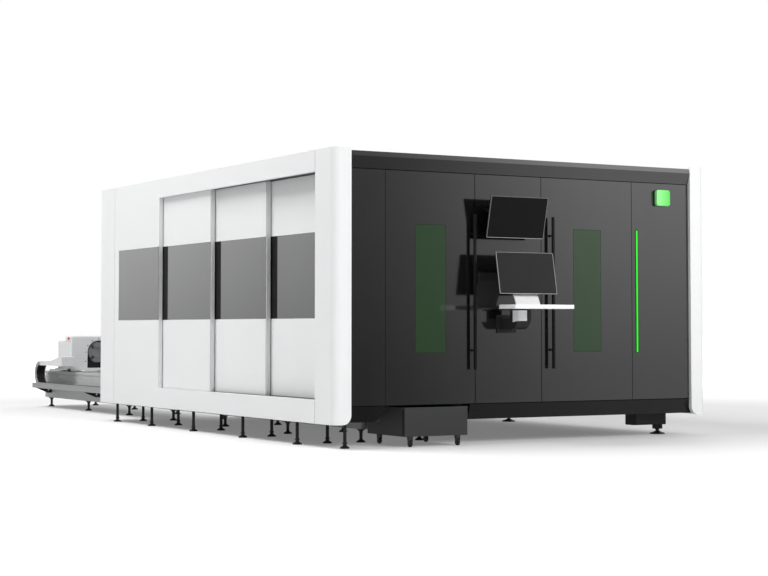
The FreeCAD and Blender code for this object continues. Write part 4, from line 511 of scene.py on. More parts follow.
# ---- slats ----
# Replaceable toothed slats cut from 3 mm mild steel, slotted into the side bars of the sheet table. Their
# tips are burnt and spattered where the beam has passed.
SLAT_X = (1552.0, 3405.0)
SLAT_FIRST_Y = 872.0
SLAT_SPACING = 55.0
SLAT_COUNT = 58
SLAT_SHEET = 3.0
SLAT_Z = (762.0, 850.0)
TOOTH_DEPTH = 24.0
TOOTH_COUNT = 40
BURNT = (0.035, 0.028, 0.024, 1)

# Mask of heat stain and spatter that grows towards a height in metres.
heat_stain, given, result = new_group("heat_stain", {"Low": 0.78, "High": 0.86}, {"Mask": 0.0})
place = object_place(heat_stain)
height = node(heat_stain, "SeparateXYZ", {0: place}).outputs["Z"]
upward = node(heat_stain, "MapRange", {"Value": height, "From Min": given["Low"], "From Max": given["High"]})
spots = node(heat_stain, "TexNoise", {"Scale": 38.0, "Detail": 5.0, "Vector": place})
both = node(heat_stain, "Math", {0: upward.outputs["Result"], 1: spots.outputs["Fac"]}, operation='MULTIPLY')
sharper = node(heat_stain, "MapRange", {"Value": both.outputs[0], "From Min": 0.18, "From Max": 0.5})
join(heat_stain, result, {"Mask": sharper.outputs["Result"]})


def in_a_row(piece, count, step):
    """Repeat a piece at a step in millimetres, in one mesh."""
    return modified(piece, 'ARRAY', count=count, use_relative_offset=False, use_constant_offset=True,
                    constant_offset_displace=Vector(step) / 1000)


slat_length = SLAT_X[1] - SLAT_X[0]
tooth_foot = SLAT_Z[1] - TOOTH_DEPTH
half_tooth = slat_length / TOOTH_COUNT / 2
bpy.ops.object.select_all(action='DESELECT')
bpy.ops.mesh.primitive_grid_add(x_subdivisions=2 * TOOTH_COUNT, y_subdivisions=1, size=1,
                                location=spot(sum(SLAT_X) / 2, SLAT_FIRST_Y, (SLAT_Z[0] + tooth_foot) / 2),
                                rotation=(math.radians(90), 0, 0))
bpy.context.object.scale = (slat_length / 1000, (tooth_foot - SLAT_Z[0]) / 1000, 1)
slats = start_piece("toothed_slats")
work(slats, 'VERT', lambda place, normal: place.z > tooth_foot - 1
     and round((place.x - SLAT_X[0]) / half_tooth) % 2 == 1, bpy.ops.transform.translate,
     value=(0, 0, TOOTH_DEPTH / 1000))
modified(slats, 'SOLIDIFY', thickness=SLAT_SHEET / 1000, offset=0)
in_a_row(slats, SLAT_COUNT, (0, SLAT_SPACING, 0))

slat_steel = painted("burnt_slat_steel", (0.30, 0.30, 0.31), 0.45, drift=0.4, size=900.0, metallic=0.85)
tree = slat_steel.node_tree
stain = node(tree, "Group", node_tree=heat_stain)
feed_shader(tree, {"Base Color": mixed(tree, stain.outputs["Mask"],
                                       tree.nodes["Group"].outputs["Colour"], BURNT)})
dress(slats, slat_steel, "machine")
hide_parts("slats")

# ---- linear rails ----
# Ground profile rails for the gantry and for the tube carriage, held down by cap screws. Small black plastic
# caps close the screw holes, flush with the top of the rail.
RAIL_CAP = ((5.5, -1), (5.5, 0.1), (4.5, 0.2))
RAIL_CAP_PITCH = 80.0
RAILS = ((360, 984, 470, 5010), (3577, 984, 470, 5010), (698, 456, 1900, 8780), (1212, 456, 1900, 8780))
LINE_DEPTH = 0.00003

# Long fine lines left by grinding or drawing, running along Y.
drawn_lines, given, result = new_group("drawn_lines", {"Fineness": 900.0}, {"Height": 0.0})
squeezed = node(drawn_lines, "Mapping", {"Vector": object_place(drawn_lines), "Scale": (1.0, 0.004, 1.0)})
lines = node(drawn_lines, "TexNoise", {"Detail": 2.0, "Vector": squeezed.outputs[0],
                                       "Scale": given["Fineness"]})
join(drawn_lines, result, {"Height": lines.outputs["Fac"]})


def drawn_metal(name, colour, roughness):
    """Ground or drawn bare metal, with its lines along the length of the machine."""
    finish = painted(name, colour, roughness, drift=0.1, spread=0.12, metallic=1.0)
    lines = node(finish.node_tree, "Group", node_tree=drawn_lines)
    return ridged(finish, lines.outputs["Height"], LINE_DEPTH)


give(drawn_metal("ground_rail_steel", (0.56, 0.57, 0.58), 0.22), "linear_rails")
rail_caps = [in_a_row(turned("rail_cap", RAIL_CAP, (x, start, top), 'Z', 12),
                      int((end - start) / RAIL_CAP_PITCH) + 1, (0, RAIL_CAP_PITCH, 0))
             for x, top, start, end in RAILS]
dress(joined("rail_screw_caps", rail_caps), painted("cap_plastic", (0.03, 0.03, 0.032), 0.4), "machine")

# ---- gantry ----
# Cast and machined beam on two end carriages, painted dark grey. A servo motor with a round plug on top
# stands beside each end of the beam, and cap screws hold the ends.
GANTRY_FACES = ((310, -1), (3627, 1))
MOTOR_SIDE = 96.0
MOTOR_XS = (GANTRY_FACES[0][0] + 2, GANTRY_FACES[1][0] - MOTOR_SIDE - 2)
MOTOR_Y = 4412.0
MOTOR_Z = (1110.0, 1390.0)
MOTOR_PLUG = ((14, 0), (14, 20), (11, 22), (11, 30))
BEAM_SCREW_YS = (4200, 4291, 4382)
BEAM_SCREW_ZS = (1158, 1382)


def rounded(piece, axis, width, segments=2, where=None):
    """Round the edges along an axis, all of them or where their middle is wanted, in millimetres."""
    work(piece, 'EDGE', lambda place, along: abs(along['XYZ'.index(axis)]) > 0.9
         and (where is None or where(place)), bpy.ops.mesh.bevel, offset=width / 1000, segments=segments)


gantry_paint = painted("dark_gantry_paint", (0.075, 0.078, 0.082), 0.42, drift=0.15)
give(gantry_paint, "gantry_beam", "gantry_ends")
motor_black = painted("motor_black", (0.016, 0.016, 0.017), 0.35, drift=0.2)
motors = []
for x in MOTOR_XS:
    motor = box_piece("servo_motor", (x, MOTOR_Y, MOTOR_Z[0]),
                      (x + MOTOR_SIDE, MOTOR_Y + MOTOR_SIDE, MOTOR_Z[1]))
    rounded(motor, 'Z', 12)
    inset(motor, 'Z', 1, 8, 6)
    softened(motor, 1.5)
    flange = box_piece("motor_flange", (x - 1.5, MOTOR_Y - 1, MOTOR_Z[0] - 2),
                       (x + MOTOR_SIDE + 1.5, MOTOR_Y + MOTOR_SIDE + 2, MOTOR_Z[0] + 16))
    plug = turned("motor_plug", MOTOR_PLUG, (x + MOTOR_SIDE / 2, MOTOR_Y + MOTOR_SIDE / 2, MOTOR_Z[1]),
                  'Z', 16)
    motors += [motor, softened(flange, 1.5), plug]
dress(joined("gantry_servo_motors", motors), motor_black, "gantry")

screw_steel = drawn_metal("black_oxide_screws", (0.06, 0.06, 0.062), 0.35)
end_screws = [cap_screw((x, y, z), 'X', out, 9) for x, out in GANTRY_FACES for y in BEAM_SCREW_YS
              for z in BEAM_SCREW_ZS]
dress(joined("gantry_beam_screws", end_screws), screw_steel, "gantry")

# ---- head carriage ----
# Upright machined plate with a moulded white cover over the height drive. The cover has a seam round its
# lower part and a row of dark cooling slots, and cap screws hold the plate along its lower sides.
CARRIAGE_X = (2250.0, 2550.0)
CARRIAGE_Z = (1040.0, 1710.0)
PLATE_Y = (4131.7, 4171.7)
COVER_Y = 4061.7
COVER_BOTTOM = 1250.0
SEAM_ABOVE = (120, 124)
SLOT_X = (2330, 2470)
SLOT_TOP = 1626
PLATE_SCREW_XS = (2268, 2532)
PLATE_SCREW_ZS = (1060, 1120, 1180, 1235)


def whole(place, normal):
    """Wants every part of a piece."""
    return True


head_white = painted("white_cover_plastic", (0.78, 0.785, 0.79), 0.35)
head_plate = box_piece("head_carriage_plate", (CARRIAGE_X[0], PLATE_Y[0], CARRIAGE_Z[0]),
                       (CARRIAGE_X[1], PLATE_Y[1], CARRIAGE_Z[1]))
rounded(head_plate, 'Y', 12, 3)
softened(head_plate, 1.5)
head_plate = joined("head_carriage_plate", [head_plate] + [
    cap_screw((x, PLATE_Y[0], z), 'Y', -1, 6) for x in PLATE_SCREW_XS for z in PLATE_SCREW_ZS])
dress(head_plate, gantry_paint, "cross_carriage")
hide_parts("head_carriage")

head_cover = box_piece("head_cover", (CARRIAGE_X[0] + 20, COVER_Y, COVER_BOTTOM),
                       (CARRIAGE_X[1] - 20, PLATE_Y[0] + 1, CARRIAGE_Z[1]))
work(head_cover, 'EDGE', lambda place, along: place.y < COVER_Y + 1, bpy.ops.mesh.bevel, offset=0.016,
     segments=4)
for height in SEAM_ABOVE:
    work(head_cover, 'FACE', whole, bpy.ops.mesh.bisect, plane_co=spot(0, 0, COVER_BOTTOM + height),
         plane_no=(0, 0, 1))
work(head_cover, 'FACE', lambda place, normal: abs(place.z - COVER_BOTTOM - sum(SEAM_ABOVE) / 2) < 1.5
     and place.y < PLATE_Y[0], bpy.ops.mesh.extrude_region_shrink_fatten,
     TRANSFORM_OT_shrink_fatten={"value": -0.002})
bpy.ops.object.shade_smooth_by_angle(angle=SMOOTH_BELOW)
dress(head_cover, head_white, "cross_carriage")
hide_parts("head_carriage")
slots = in_a_row(box_piece("head_cover_slots", (SLOT_X[0], COVER_Y - 0.5, SLOT_TOP - 6),
                           (SLOT_X[1], COVER_Y + 2, SLOT_TOP)), 6, (0, 0, -16))
dark_gap = painted("dark_gap", (0.006, 0.006, 0.006), 0.7)
dress(slots, dark_gap, "cross_carriage")

# ---- cutting head ----
# Anodised aluminium head: square slide block, barrel with a knurled focus ring and a lens drawer, and a
# turned cone that ends in a copper nozzle.
HEAD_X = 2400.0
HEAD_Y = 4069.4
NOZZLE_Z = 1010.0
BARREL = ((34, 62), (38, 64), (38, 84), (46, 90), (52, 92), (52, 118), (49.5, 119), (49.5, 122), (52, 123),
          (52, 168), (50, 170), (50, 176), (52, 178), (52, 228), (49, 234))
NOZZLE = ((3, 1), (9, 0.5), (12, 8), (12, 14), (16, 15), (16, 22), (30, 50), (36, 60), (36, 64))
barrel = turned("optics_barrel", BARREL, (HEAD_X, HEAD_Y, NOZZLE_Z), 'Z', 40)
slide = box_piece("head_slide", (HEAD_X - 60, HEAD_Y + 1, NOZZLE_Z + 100),
                  (HEAD_X + 60, PLATE_Y[0] - 0.6, NOZZLE_Z + 236))
rounded(slide, 'Z', 8, 3)
softened(slide, 1.0)
drawer = box_piece("lens_drawer", (HEAD_X - 30, HEAD_Y - 51.5, NOZZLE_Z + 126),
                   (HEAD_X + 30, HEAD_Y - 20, NOZZLE_Z + 150))
cutting = joined("cutting_head_body", [barrel, slide, softened(drawer, 3.0, 3)])
dress(cutting, drawn_metal("anodised_aluminium", (0.62, 0.63, 0.65), 0.34), "head")
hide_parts("cutting_head")
tip = turned("copper_nozzle", NOZZLE, (HEAD_X, HEAD_Y, NOZZLE_Z), 'Z', 36)
dress(tip, drawn_metal("turned_copper", (0.72, 0.38, 0.22), 0.28), "head")
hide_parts("cutting_head")

# ---- tube bed ----
# Long welded and machined bed in mid-grey paint that carries the tube chucks. It passes from the front of
# the machine out through the rear wall.
STRIPS = ((637.5, 641.0, -1), (1269.0, 1272.5, 1))
STRIP_Y = (702.0, 8818.0)
LEDGE_TOP = 421.0
STRIP_SCREW = (760, 370)
STRIP_SCREW_PITCH = 400
tube_paint = painted("tube_bed_paint", (0.56, 0.565, 0.57), 0.42, drift=0.15)
give(tube_paint, "tube_bed")
tube_lines = []
for x0, x1, out in STRIPS:
    strip = box_piece("tube_bed_strip", (x0, STRIP_Y[0], LEDGE_TOP - 9), (x1, STRIP_Y[1], LEDGE_TOP))
    screw = cap_screw((x0 if out < 0 else x1, *STRIP_SCREW), 'X', out, 7)
    screws = in_a_row(screw, 21, (0, STRIP_SCREW_PITCH, 0))
    tube_lines += [softened(strip, 1.0), screws]
dress(joined("tube_bed_strips", tube_lines), tube_paint, "machine")

# ---- chuck housings ----
# Folded sheet housings in white powder coat around the chucks. Their faces are screwed on round the arch,
# whose reveal is black, and a fine seam shows where the lid meets the sides.
AXIS_X = 955.0
AXIS_Z = 675.0
ARCH_FACES = ((1500.0, 438.0, "machine", "front"), (7810.0, 476.0, "tube_carriage", "rear"))
ARCH_RADIUS = 138.0
RIM_RADIUS = 158.0
LINER_DEPTH = 128.5
LOW_SCREW_Z = -110.0
machine_white = painted("machine_white", (0.80, 0.805, 0.81), 0.4)
black_reveal = painted("black_reveal", (0.008, 0.008, 0.0085), 0.45)
give(machine_white, "front_chuck_housing", "chuck_housing", "motor_cover", "carriage_base")

for face_y, bottom, body, name in ARCH_FACES:
    bpy.ops.object.select_all(action='DESELECT')
    bpy.ops.mesh.primitive_circle_add(vertices=64, radius=(ARCH_RADIUS - 0.5) / 1000, fill_type='NOTHING',
                                      location=spot(AXIS_X, face_y + 0.5, AXIS_Z),
                                      rotation=(math.radians(90), 0, 0))
    liner = start_piece(f"arch_liner_{name}")
    work(liner, 'VERT', lambda place, normal: place.z < AXIS_Z - 0.5, bpy.ops.mesh.delete, type='VERT')
    work(liner, 'VERT', lambda place, normal: place.z < AXIS_Z + 1.5, bpy.ops.mesh.extrude_region_move,
         TRANSFORM_OT_translate={"value": (0, 0, (bottom + 11 - AXIS_Z) / 1000)})
    work(liner, 'EDGE', whole, bpy.ops.mesh.extrude_region_move,
         TRANSFORM_OT_translate={"value": (0, LINER_DEPTH / 1000, 0)})
    modified(liner, 'SOLIDIFY', thickness=0.0015, offset=0)
    work(liner, 'FACE', whole, bpy.ops.mesh.normals_make_consistent, inside=False)
    back = box_piece(f"arch_back_{name}", (AXIS_X - ARCH_RADIUS, face_y + LINER_DEPTH - 0.3, bottom + 10.5),
                     (AXIS_X + ARCH_RADIUS, face_y + LINER_DEPTH + 1.3, AXIS_Z + ARCH_RADIUS))
    for side in (-1, 1):
        rounded(back, 'Y', 130, 10, lambda place: place.z > AXIS_Z and (place.x - AXIS_X) * side > 0)
    dress(liner, black_reveal, body)
    dress(back, black_reveal, body)
    turns = [math.radians(30 * number) for number in range(7)]
    rim = [(RIM_RADIUS * math.cos(turn), RIM_RADIUS * math.sin(turn)) for turn in turns]
    rim = [cap_screw((AXIS_X + x, face_y, AXIS_Z + z), 'Y', -1, 6)
           for x, z in rim + [(-RIM_RADIUS, LOW_SCREW_Z), (RIM_RADIUS, LOW_SCREW_Z)]]
    dress(joined(f"arch_screws_{name}", rim), screw_steel, body)

# ---- chucks ----
# Pneumatic four-jaw chucks, turned from steel with a ground face. Hardened stepped jaws stand on the face
# round the bore, between cap screws.
CHUCKS = (("rear", 7840.0, 149.7), ("front", 1530.0, 290.0))
CHUCK_PROFILE = ((9, 17), (58, 14), (62.5, 13), (62.5, 3), (65, 0.5), (118, 0.5), (124.5, 7), (124.5, 30),
                 (120, 31), (120, 36), (124.5, 37), (124.5, 69), (90, 70))
FACE_SCREW_RADIUS = 108.0
JAW_REACH = (69.0, 92.0, 112.0)
JAW_HALF = 15.0
chuck_steel = drawn_metal("ground_chuck_steel", (0.24, 0.245, 0.25), 0.30)
jaw_steel = drawn_metal("hardened_jaw_steel", (0.10, 0.10, 0.105), 0.3)


def swung(piece, place, degrees, axis):
    """Turn a piece round an axis through a place in millimetres."""
    piece.data.transform(Matrix.Translation(spot(*place)) @ Matrix.Rotation(math.radians(degrees), 4, axis)
                         @ Matrix.Translation(-spot(*place)))
    return piece


for name, start, length in CHUCKS:
    body = f"{name}_chuck_body"
    parts = [turned(body, CHUCK_PROFILE + ((89.5, length - 1), (88.5, length)), (AXIS_X, start, AXIS_Z),
                    'Y', 72)]
    for number in range(8):
        turn = math.radians(22.5 + 45 * number)
        parts.append(cap_screw((AXIS_X + FACE_SCREW_RADIUS * math.cos(turn), start + 0.5,
                                AXIS_Z + FACE_SCREW_RADIUS * math.sin(turn)), 'Y', -1))
    chuck = joined(body, parts)
    dress(chuck, chuck_steel, body)
    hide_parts(f"{name}_chuck")
    jaws = []
    for number in range(4):
        jaw = box_piece("jaw", (AXIS_X + JAW_REACH[0], start - 15, AXIS_Z - JAW_HALF),
                        (AXIS_X + JAW_REACH[2], start + 2, AXIS_Z + JAW_HALF))
        inset(jaw, 'Y', -1, 4)
        rounded(jaw, 'Z', 8, 1, lambda place: place.y < start - 14 and place.x < AXIS_X + JAW_REACH[0] + 1)
        softened(jaw, 1.0)
        jaw = joined("jaw", [jaw, cap_screw((AXIS_X + JAW_REACH[1], start - 15, AXIS_Z), 'Y', -1, 6)])
        jaws.append(swung(jaw, (AXIS_X, 0, AXIS_Z), 45 + 90 * number, 'Y'))
    jaws = joined(f"{name}_chuck_jaws", jaws)
    dress(jaws, jaw_steel, body)
    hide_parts(f"{name}_chuck")

# ---- stop button ----
# Red moulded mushroom button in a round white collar, set in the left face of the chuck housing. It is
# pressed in to stop the machine.
STOP_PLACE = (595.7, 7850.0, 838.0)
STOP_HEAD = ((8.5, 22), (8.5, 1), (14.5, 0.5), (15.9, -1.5), (15.9, -8), (14.5, -11), (10, -12.6), (4, -13))
STOP_COLLAR = ((21, -0.5), (21, -3), (19, -4), (16.4, -4), (16.4, -0.5))
HOUSING_LEFT = 610.5
red_plastic = painted("stop_red_plastic", (0.75, 0.015, 0.03), 0.28)
button = turned("stop_button_head", STOP_HEAD, STOP_PLACE, 'X', 32)
dress(button, red_plastic, "stop")
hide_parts("stop_button")
collar = turned("stop_button_collar", STOP_COLLAR, (HOUSING_LEFT, *STOP_PLACE[1:]), 'X', 32)
dress(collar, machine_white, "tube_carriage")

# ---- chuck carriage covers ----
# White powder-coated sheet: the lids of both housings with their seams, and the cover over the chuck motor
# with cooling slots in its right side. Cap screws hold it and the carriage plate. A black limit cam is below.
LID_SEAM_X = (609.2, 1300.8)
LID_SEAM_Z = (806.0, 808.0)
LID_SEAMS = (("housing_lid_seam", 7825, 8009, "tube_carriage"),
             ("front_housing_lid_seam", 1515, 1819, "machine"))
COVER_SIDES = ((635.0, -1), (1275.0, 1))
COVER_REAR = 8355.0
PLATE_TOP = 476.0
COVER_SCREW_Y = 8035
COVER_SCREW_ZS = (500, 780)
PLATE_SCREW_Y = 7800
EDGE_SCREW_XS = (622, 1288)
for name, y0, y1, body in LID_SEAMS:
    seam = box_piece(name, (LID_SEAM_X[0], y0, LID_SEAM_Z[0]), (LID_SEAM_X[1], y1, LID_SEAM_Z[1]))
    dress(seam, black_reveal, body)
vent = softened(box_piece("cover_vent_right", (1274.5, 8070, 600), (1275.8, 8300, 604)), 0.5, 1)
dress(in_a_row(vent, 8, (0, 0, 16)), dark_gap, "tube_carriage")

details = [in_a_row(cap_screw((x, COVER_SCREW_Y, z), 'X', out, 5), 5, (0, 72, 0)) for x, out in COVER_SIDES
           for z in COVER_SCREW_ZS]
details.append(in_a_row(cap_screw((670, COVER_REAR, 500), 'Y', 1, 5), 6, (114, 0, 0)))
details += [in_a_row(cap_screw((x, PLATE_SCREW_Y, PLATE_TOP), 'Z', 1, 5), 2, (0, 575, 0))
            for x in EDGE_SCREW_XS]
dress(joined("carriage_cover_screws", details), machine_white, "tube_carriage")
cam = softened(box_piece("limit_cam", (596, 7830, 444), (612, 7905, PLATE_TOP)), 2.5)
dress(cam, motor_black, "tube_carriage")

# ---- chain arm ----
# Folded sheet arm in white powder coat that takes the moving end of the energy chain. Five cap screws hold
# its flange to the housing.
ARM_FACE = 450.0
ARM_SCREWS = ((7700, 540), (7700, 595), (7850, 575), (8180, 540), (8440, 535))
give(machine_white, "chain_arm")
arm_screws = joined("chain_arm_screws", [cap_screw((ARM_FACE, y, z), 'X', -1, 5) for y, z in ARM_SCREWS])
dress(arm_screws, machine_white, "tube_carriage")

# ---- energy chain ----
# Plastic energy chain of grey side plates and black crossbars. Its lower run lies in the tray, its loop
# turns at the back, and its upper run goes with the carriage arm.
CHAIN_X = (470.0, 590.0)
CHAIN_BOW = 8575.0
CHAIN_MIDDLE = 406.0
CHAIN_MEAN = 128.0
CHAIN_START = 5760.0
CHAIN_END = 8473.0
LINK_PITCH = 50.0
LINK_HALF = 21.5
LINK_SHEET = 12.0
LINK_BOSS = ((9, 0), (9, 1.6), (7, 2))
chain_black = painted("chain_plastic", (0.014, 0.014, 0.015), 0.42, drift=0.25)
chain_grey = painted("chain_grey_plates", (0.42, 0.425, 0.43), 0.42, drift=0.1)

# One link is made round the origin, and its line gives each link a place and a turn.
plates = []
for x, face, turn in ((CHAIN_X[0], CHAIN_X[0], 180), (CHAIN_X[1] - LINK_SHEET, CHAIN_X[1], 0)):
    plate = box_piece("link_plate", (x, -27, -LINK_HALF), (x + LINK_SHEET, 27, LINK_HALF))
    rounded(plate, 'X', 12)
    plates += [plate, swung(turned("link_boss", LINK_BOSS, (face, 0, 0), 'X', 10), (face, 0, 0), turn, 'Z')]
bars = [box_piece("link_bar", (CHAIN_X[0] + 6, -24.6, z), (CHAIN_X[1] - 6, 24.6, z + 4))
        for z in (-LINK_HALF + 2, LINK_HALF - 6)]
line = []
y = CHAIN_START + 27
while y < CHAIN_BOW:
    line.append((y, CHAIN_MIDDLE - CHAIN_MEAN, 0.0))
    y += LINK_PITCH
arc = math.pi * CHAIN_MEAN
travel = y - CHAIN_BOW
while travel < arc:
    turn = travel / CHAIN_MEAN
    line.append((CHAIN_BOW + CHAIN_MEAN * math.sin(turn), CHAIN_MIDDLE - CHAIN_MEAN * math.cos(turn), turn))
    travel += LINK_PITCH
y = CHAIN_BOW - (travel - arc)
while y > CHAIN_END + 20:
    line.append((y, CHAIN_MIDDLE + CHAIN_MEAN, math.pi))
    y -= LINK_PITCH

for name, pieces, finish in (("chain_plates", plates, chain_grey), ("chain_bars", bars, chain_black)):
    first = joined("link", pieces)
    first.data.transform(Matrix.Translation(-spot(0, 0, 0)))
    links = []
    for y, z, turn in line:
        link = copied(first, (0, 0, 0))
        link.data.transform(Matrix.Translation(spot(0, y, z)) @ Matrix.Rotation(turn, 4, 'X'))
        links.append(link)
    bpy.data.objects.remove(first)
    chain = joined(name, links)
    chain.data.materials.clear()
    chain.data.materials.append(finish)
    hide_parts("drag_chain")
    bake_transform(chain)

# ---- chain tray ----
# Folded sheet tray for the energy chain, hung on the tube bed's side. It is light grey with a rolled outer
# lip, and dark triangular gussets carry it.
LIPS = ((4.2, 441.5, 289), (3.6, 442.5, 237))
LIP_Y = (2902, 8722)
GUSSET_YS = (8580.0, 6900.0, 5220.0, 3540.0)
GUSSET_BOSS = (596, 205)
tray_grey = painted("tray_grey", (0.34, 0.345, 0.35), 0.4, drift=0.1)
give(tray_grey, "chain_tray")
lips = [turned("tray_lip", [(radius, y) for y in LIP_Y], (x, 0, z), 'Y', 12) for radius, x, z in LIPS]
dress(joined("tray_lips", lips), tray_grey, "machine")
gussets = []
for number, y in enumerate(GUSSET_YS):
    plate = box_piece("gusset", (588, y - 6.5, 170), (640.5, y + 6.5, 250))
    work(plate, 'FACE', lambda place, normal: normal.x < -0.9, bpy.ops.mesh.extrude_region_move,
         TRANSFORM_OT_translate={"value": (-0.1445, 0, 0)})
    work(plate, 'VERT', lambda place, normal: place.x < 450 and place.z < 200, bpy.ops.transform.translate,
         value=(0, 0, 0.062))
    boss_place = (GUSSET_BOSS[0], y, GUSSET_BOSS[1])
    gussets += [softened(plate, 0.6, 1), turned("boss", ((15, -7.5), (15, 7.5)), boss_place, 'Y', 16)]
    hole = turned(f"gusset_hole_{number}", ((10, -8.2), (10, 8.2)), boss_place, 'Y', 16)
    dress(hole, machine_white, "machine")
dress(joined("tray_gussets", gussets), motor_black, "machine")

# ---- control cabinet ----
# Electrical cabinet behind the right front panel: folded sheet in light grey with a full-height door, two
# quarter-turn locks, barrel hinges and filter grilles.
CABINET_X = (3043.0, 3529.0)
CABINET_Y = 395.0
CABINET_Z = (334.0, 2200.0)
GRILLE_X = (3196, 3376)
GRILLE_ZS = (620, 1850)
LOCK_X = 3074
LOCK_ZS = (800, 1700)
HINGE_X = 3521
HINGE_ZS = (520, 1270, 2020)
LOCK = ((14, 0), (14, 3), (9, 5), (9, 9), (7, 10))
cabinet_grey = painted("cabinet_light_grey", (0.56, 0.57, 0.575), 0.42, drift=0.06)
give(cabinet_grey, "control_cabinet", "laser_source")
door = box_piece("cabinet_door", (CABINET_X[0] + 12, CABINET_Y - 1, CABINET_Z[0] + 14),
                 (CABINET_X[1] - 12, CABINET_Y + 14, CABINET_Z[1] - 14))
inset(door, 'Y', 1, 20, -2)
softened(door, 2.0, 3)
grilles = []
for z in GRILLE_ZS:
    grille = box_piece("grille", (GRILLE_X[0], CABINET_Y + 12, z - 90), (GRILLE_X[1], CABINET_Y + 20, z + 90))
    inset(grille, 'Y', 1, 14, -5)
    blade = box_piece("blade", (GRILLE_X[0] + 15, CABINET_Y + 13, z - 72),
                      (GRILLE_X[1] - 15, CABINET_Y + 19, z - 67))
    grilles += [softened(grille, 1.5), in_a_row(blade, 12, (0, 0, 12.5))]
dress(joined("cabinet_grilles", grilles), motor_black, "machine")
fittings = []
for z in LOCK_ZS:
    fittings.append(turned("lock", LOCK, (LOCK_X, CABINET_Y + 13, z), 'Y', 20))
    fittings.append(box_piece("lock_wing", (LOCK_X - 3, CABINET_Y + 20, z - 10),
                              (LOCK_X + 3, CABINET_Y + 27, z + 10)))
for z in HINGE_ZS:
    fittings.append(turned("hinge", ((7, 0), (7, 60)), (HINGE_X, CABINET_Y + 6, z - 30), 'Z', 14))
dress(joined("cabinet_fittings", fittings), screw_steel, "machine")
dress(door, cabinet_grey, "machine")

# ---- laser source ----
# Rack-like cabinet of the fibre source, with a screwed front plate, two lifting handles and a round fibre
# outlet with its gland on top.
SOURCE_FACE = 4802
SOURCE_SCREW_XS = (2516, 3434)
SOURCE_SCREW_ZS = (354, 667, 980)
HANDLE_Y = 4770
HANDLE_XS = (2524, 3426)
HANDLE_BAR = ((6, 430), (6, 590))
HANDLE_POST = ((5, 4764), (5, 4804))
HANDLE_POST_ZS = (438, 582)
GLAND = ((34, 0), (34, 8), (24, 9), (24, 30), (28, 31), (28, 46), (20, 52))
GLAND_PLACE = (3300, 4980, 1000)
fittings = []
for x in HANDLE_XS:
    fittings.append(turned("source_handle", HANDLE_BAR, (x, HANDLE_Y, 0), 'Z', 14))
    fittings += [turned("source_handle_post", HANDLE_POST, (x, 0, z), 'Y', 12) for z in HANDLE_POST_ZS]
fittings += [cap_screw((x, SOURCE_FACE, z), 'Y', -1, 6) for x in SOURCE_SCREW_XS for z in SOURCE_SCREW_ZS]
fittings.append(turned("fibre_gland", GLAND, GLAND_PLACE))
dress(joined("laser_source_fittings", fittings), screw_steel, "machine")

# ---- white covers ----
# Corner posts, side rails, wall and roof panels are folded steel sheet with a white satin powder coat. Dark
# rubber strips close the seams between them, set well back from the face.
WALL_Z = (194.5, 2399.5)
WALL_SEAM_Y = (319, 4790)
ROOF_SEAM_Y = (110, 5162)
REAR_SEAMS = ((123, WALL_Z[0]), (423, 921), (1337, 921), (2489.5, WALL_Z[0]), (3642, WALL_Z[0]))
DOME = ((11, -1), (11, 1.2), (7, 1.6), (6.5, 3.5), (3.5, 5))
DOME_PLACE = (90, 2386)
DOME_PITCH = 298.7
SEAM_HALF = 3.5
white_coat = painted("white_powder_coat", (0.86, 0.865, 0.87), 0.42, drift=0.02)
give(white_coat, "corner_posts", "side_rails", "fixed_side_panel", "right_wall_panels", "rear_wall_panels",
     "roof_panels", "side_leaf_front", "side_leaf_middle", "side_leaf_rear")
seal_rubber = painted("seal_rubber", (0.10, 0.10, 0.102), 0.6)
right_seams = [WALL_SEAM_Y[0] + (WALL_SEAM_Y[1] - WALL_SEAM_Y[0]) * i / 4 for i in range(5)]
roof_seams = [ROOF_SEAM_Y[0] + (ROOF_SEAM_Y[1] - ROOF_SEAM_Y[0]) * i / 4 for i in range(1, 4)]
seals = [box_piece("seal", (x0, y - SEAM_HALF, WALL_Z[0]), (x1, y + SEAM_HALF, WALL_Z[1]))
         for x0, x1, seams in ((5, 37, WALL_SEAM_Y), (3728, 3760, right_seams)) for y in seams]
seals += [box_piece("seal", (x - SEAM_HALF, 5163, low), (x + SEAM_HALF, 5195, WALL_Z[1]))
          for x, low in REAR_SEAMS]
seals += [box_piece("seal", (39, y - 3.6, 2355), (3726, y + 3.6, 2382)) for y in roof_seams]
dress(joined("cover_seals", seals), seal_rubber, "machine")

# Roof sheets are held along their seams by dome screws with washers.
screw_lines = [128] + [y - 20 for y in roof_seams] + [y + 20 for y in roof_seams] + [5144]
domes = [turned("roof_screw", DOME, (DOME_PLACE[0], y, DOME_PLACE[1]), 'Z', 12) for y in screw_lines]
roof_screws = [in_a_row(dome, 13, (DOME_PITCH, 0, 0)) for dome in domes]
dress(joined("roof_screws", roof_screws), drawn_metal("zinc_screws", (0.52, 0.53, 0.54), 0.35), "machine")
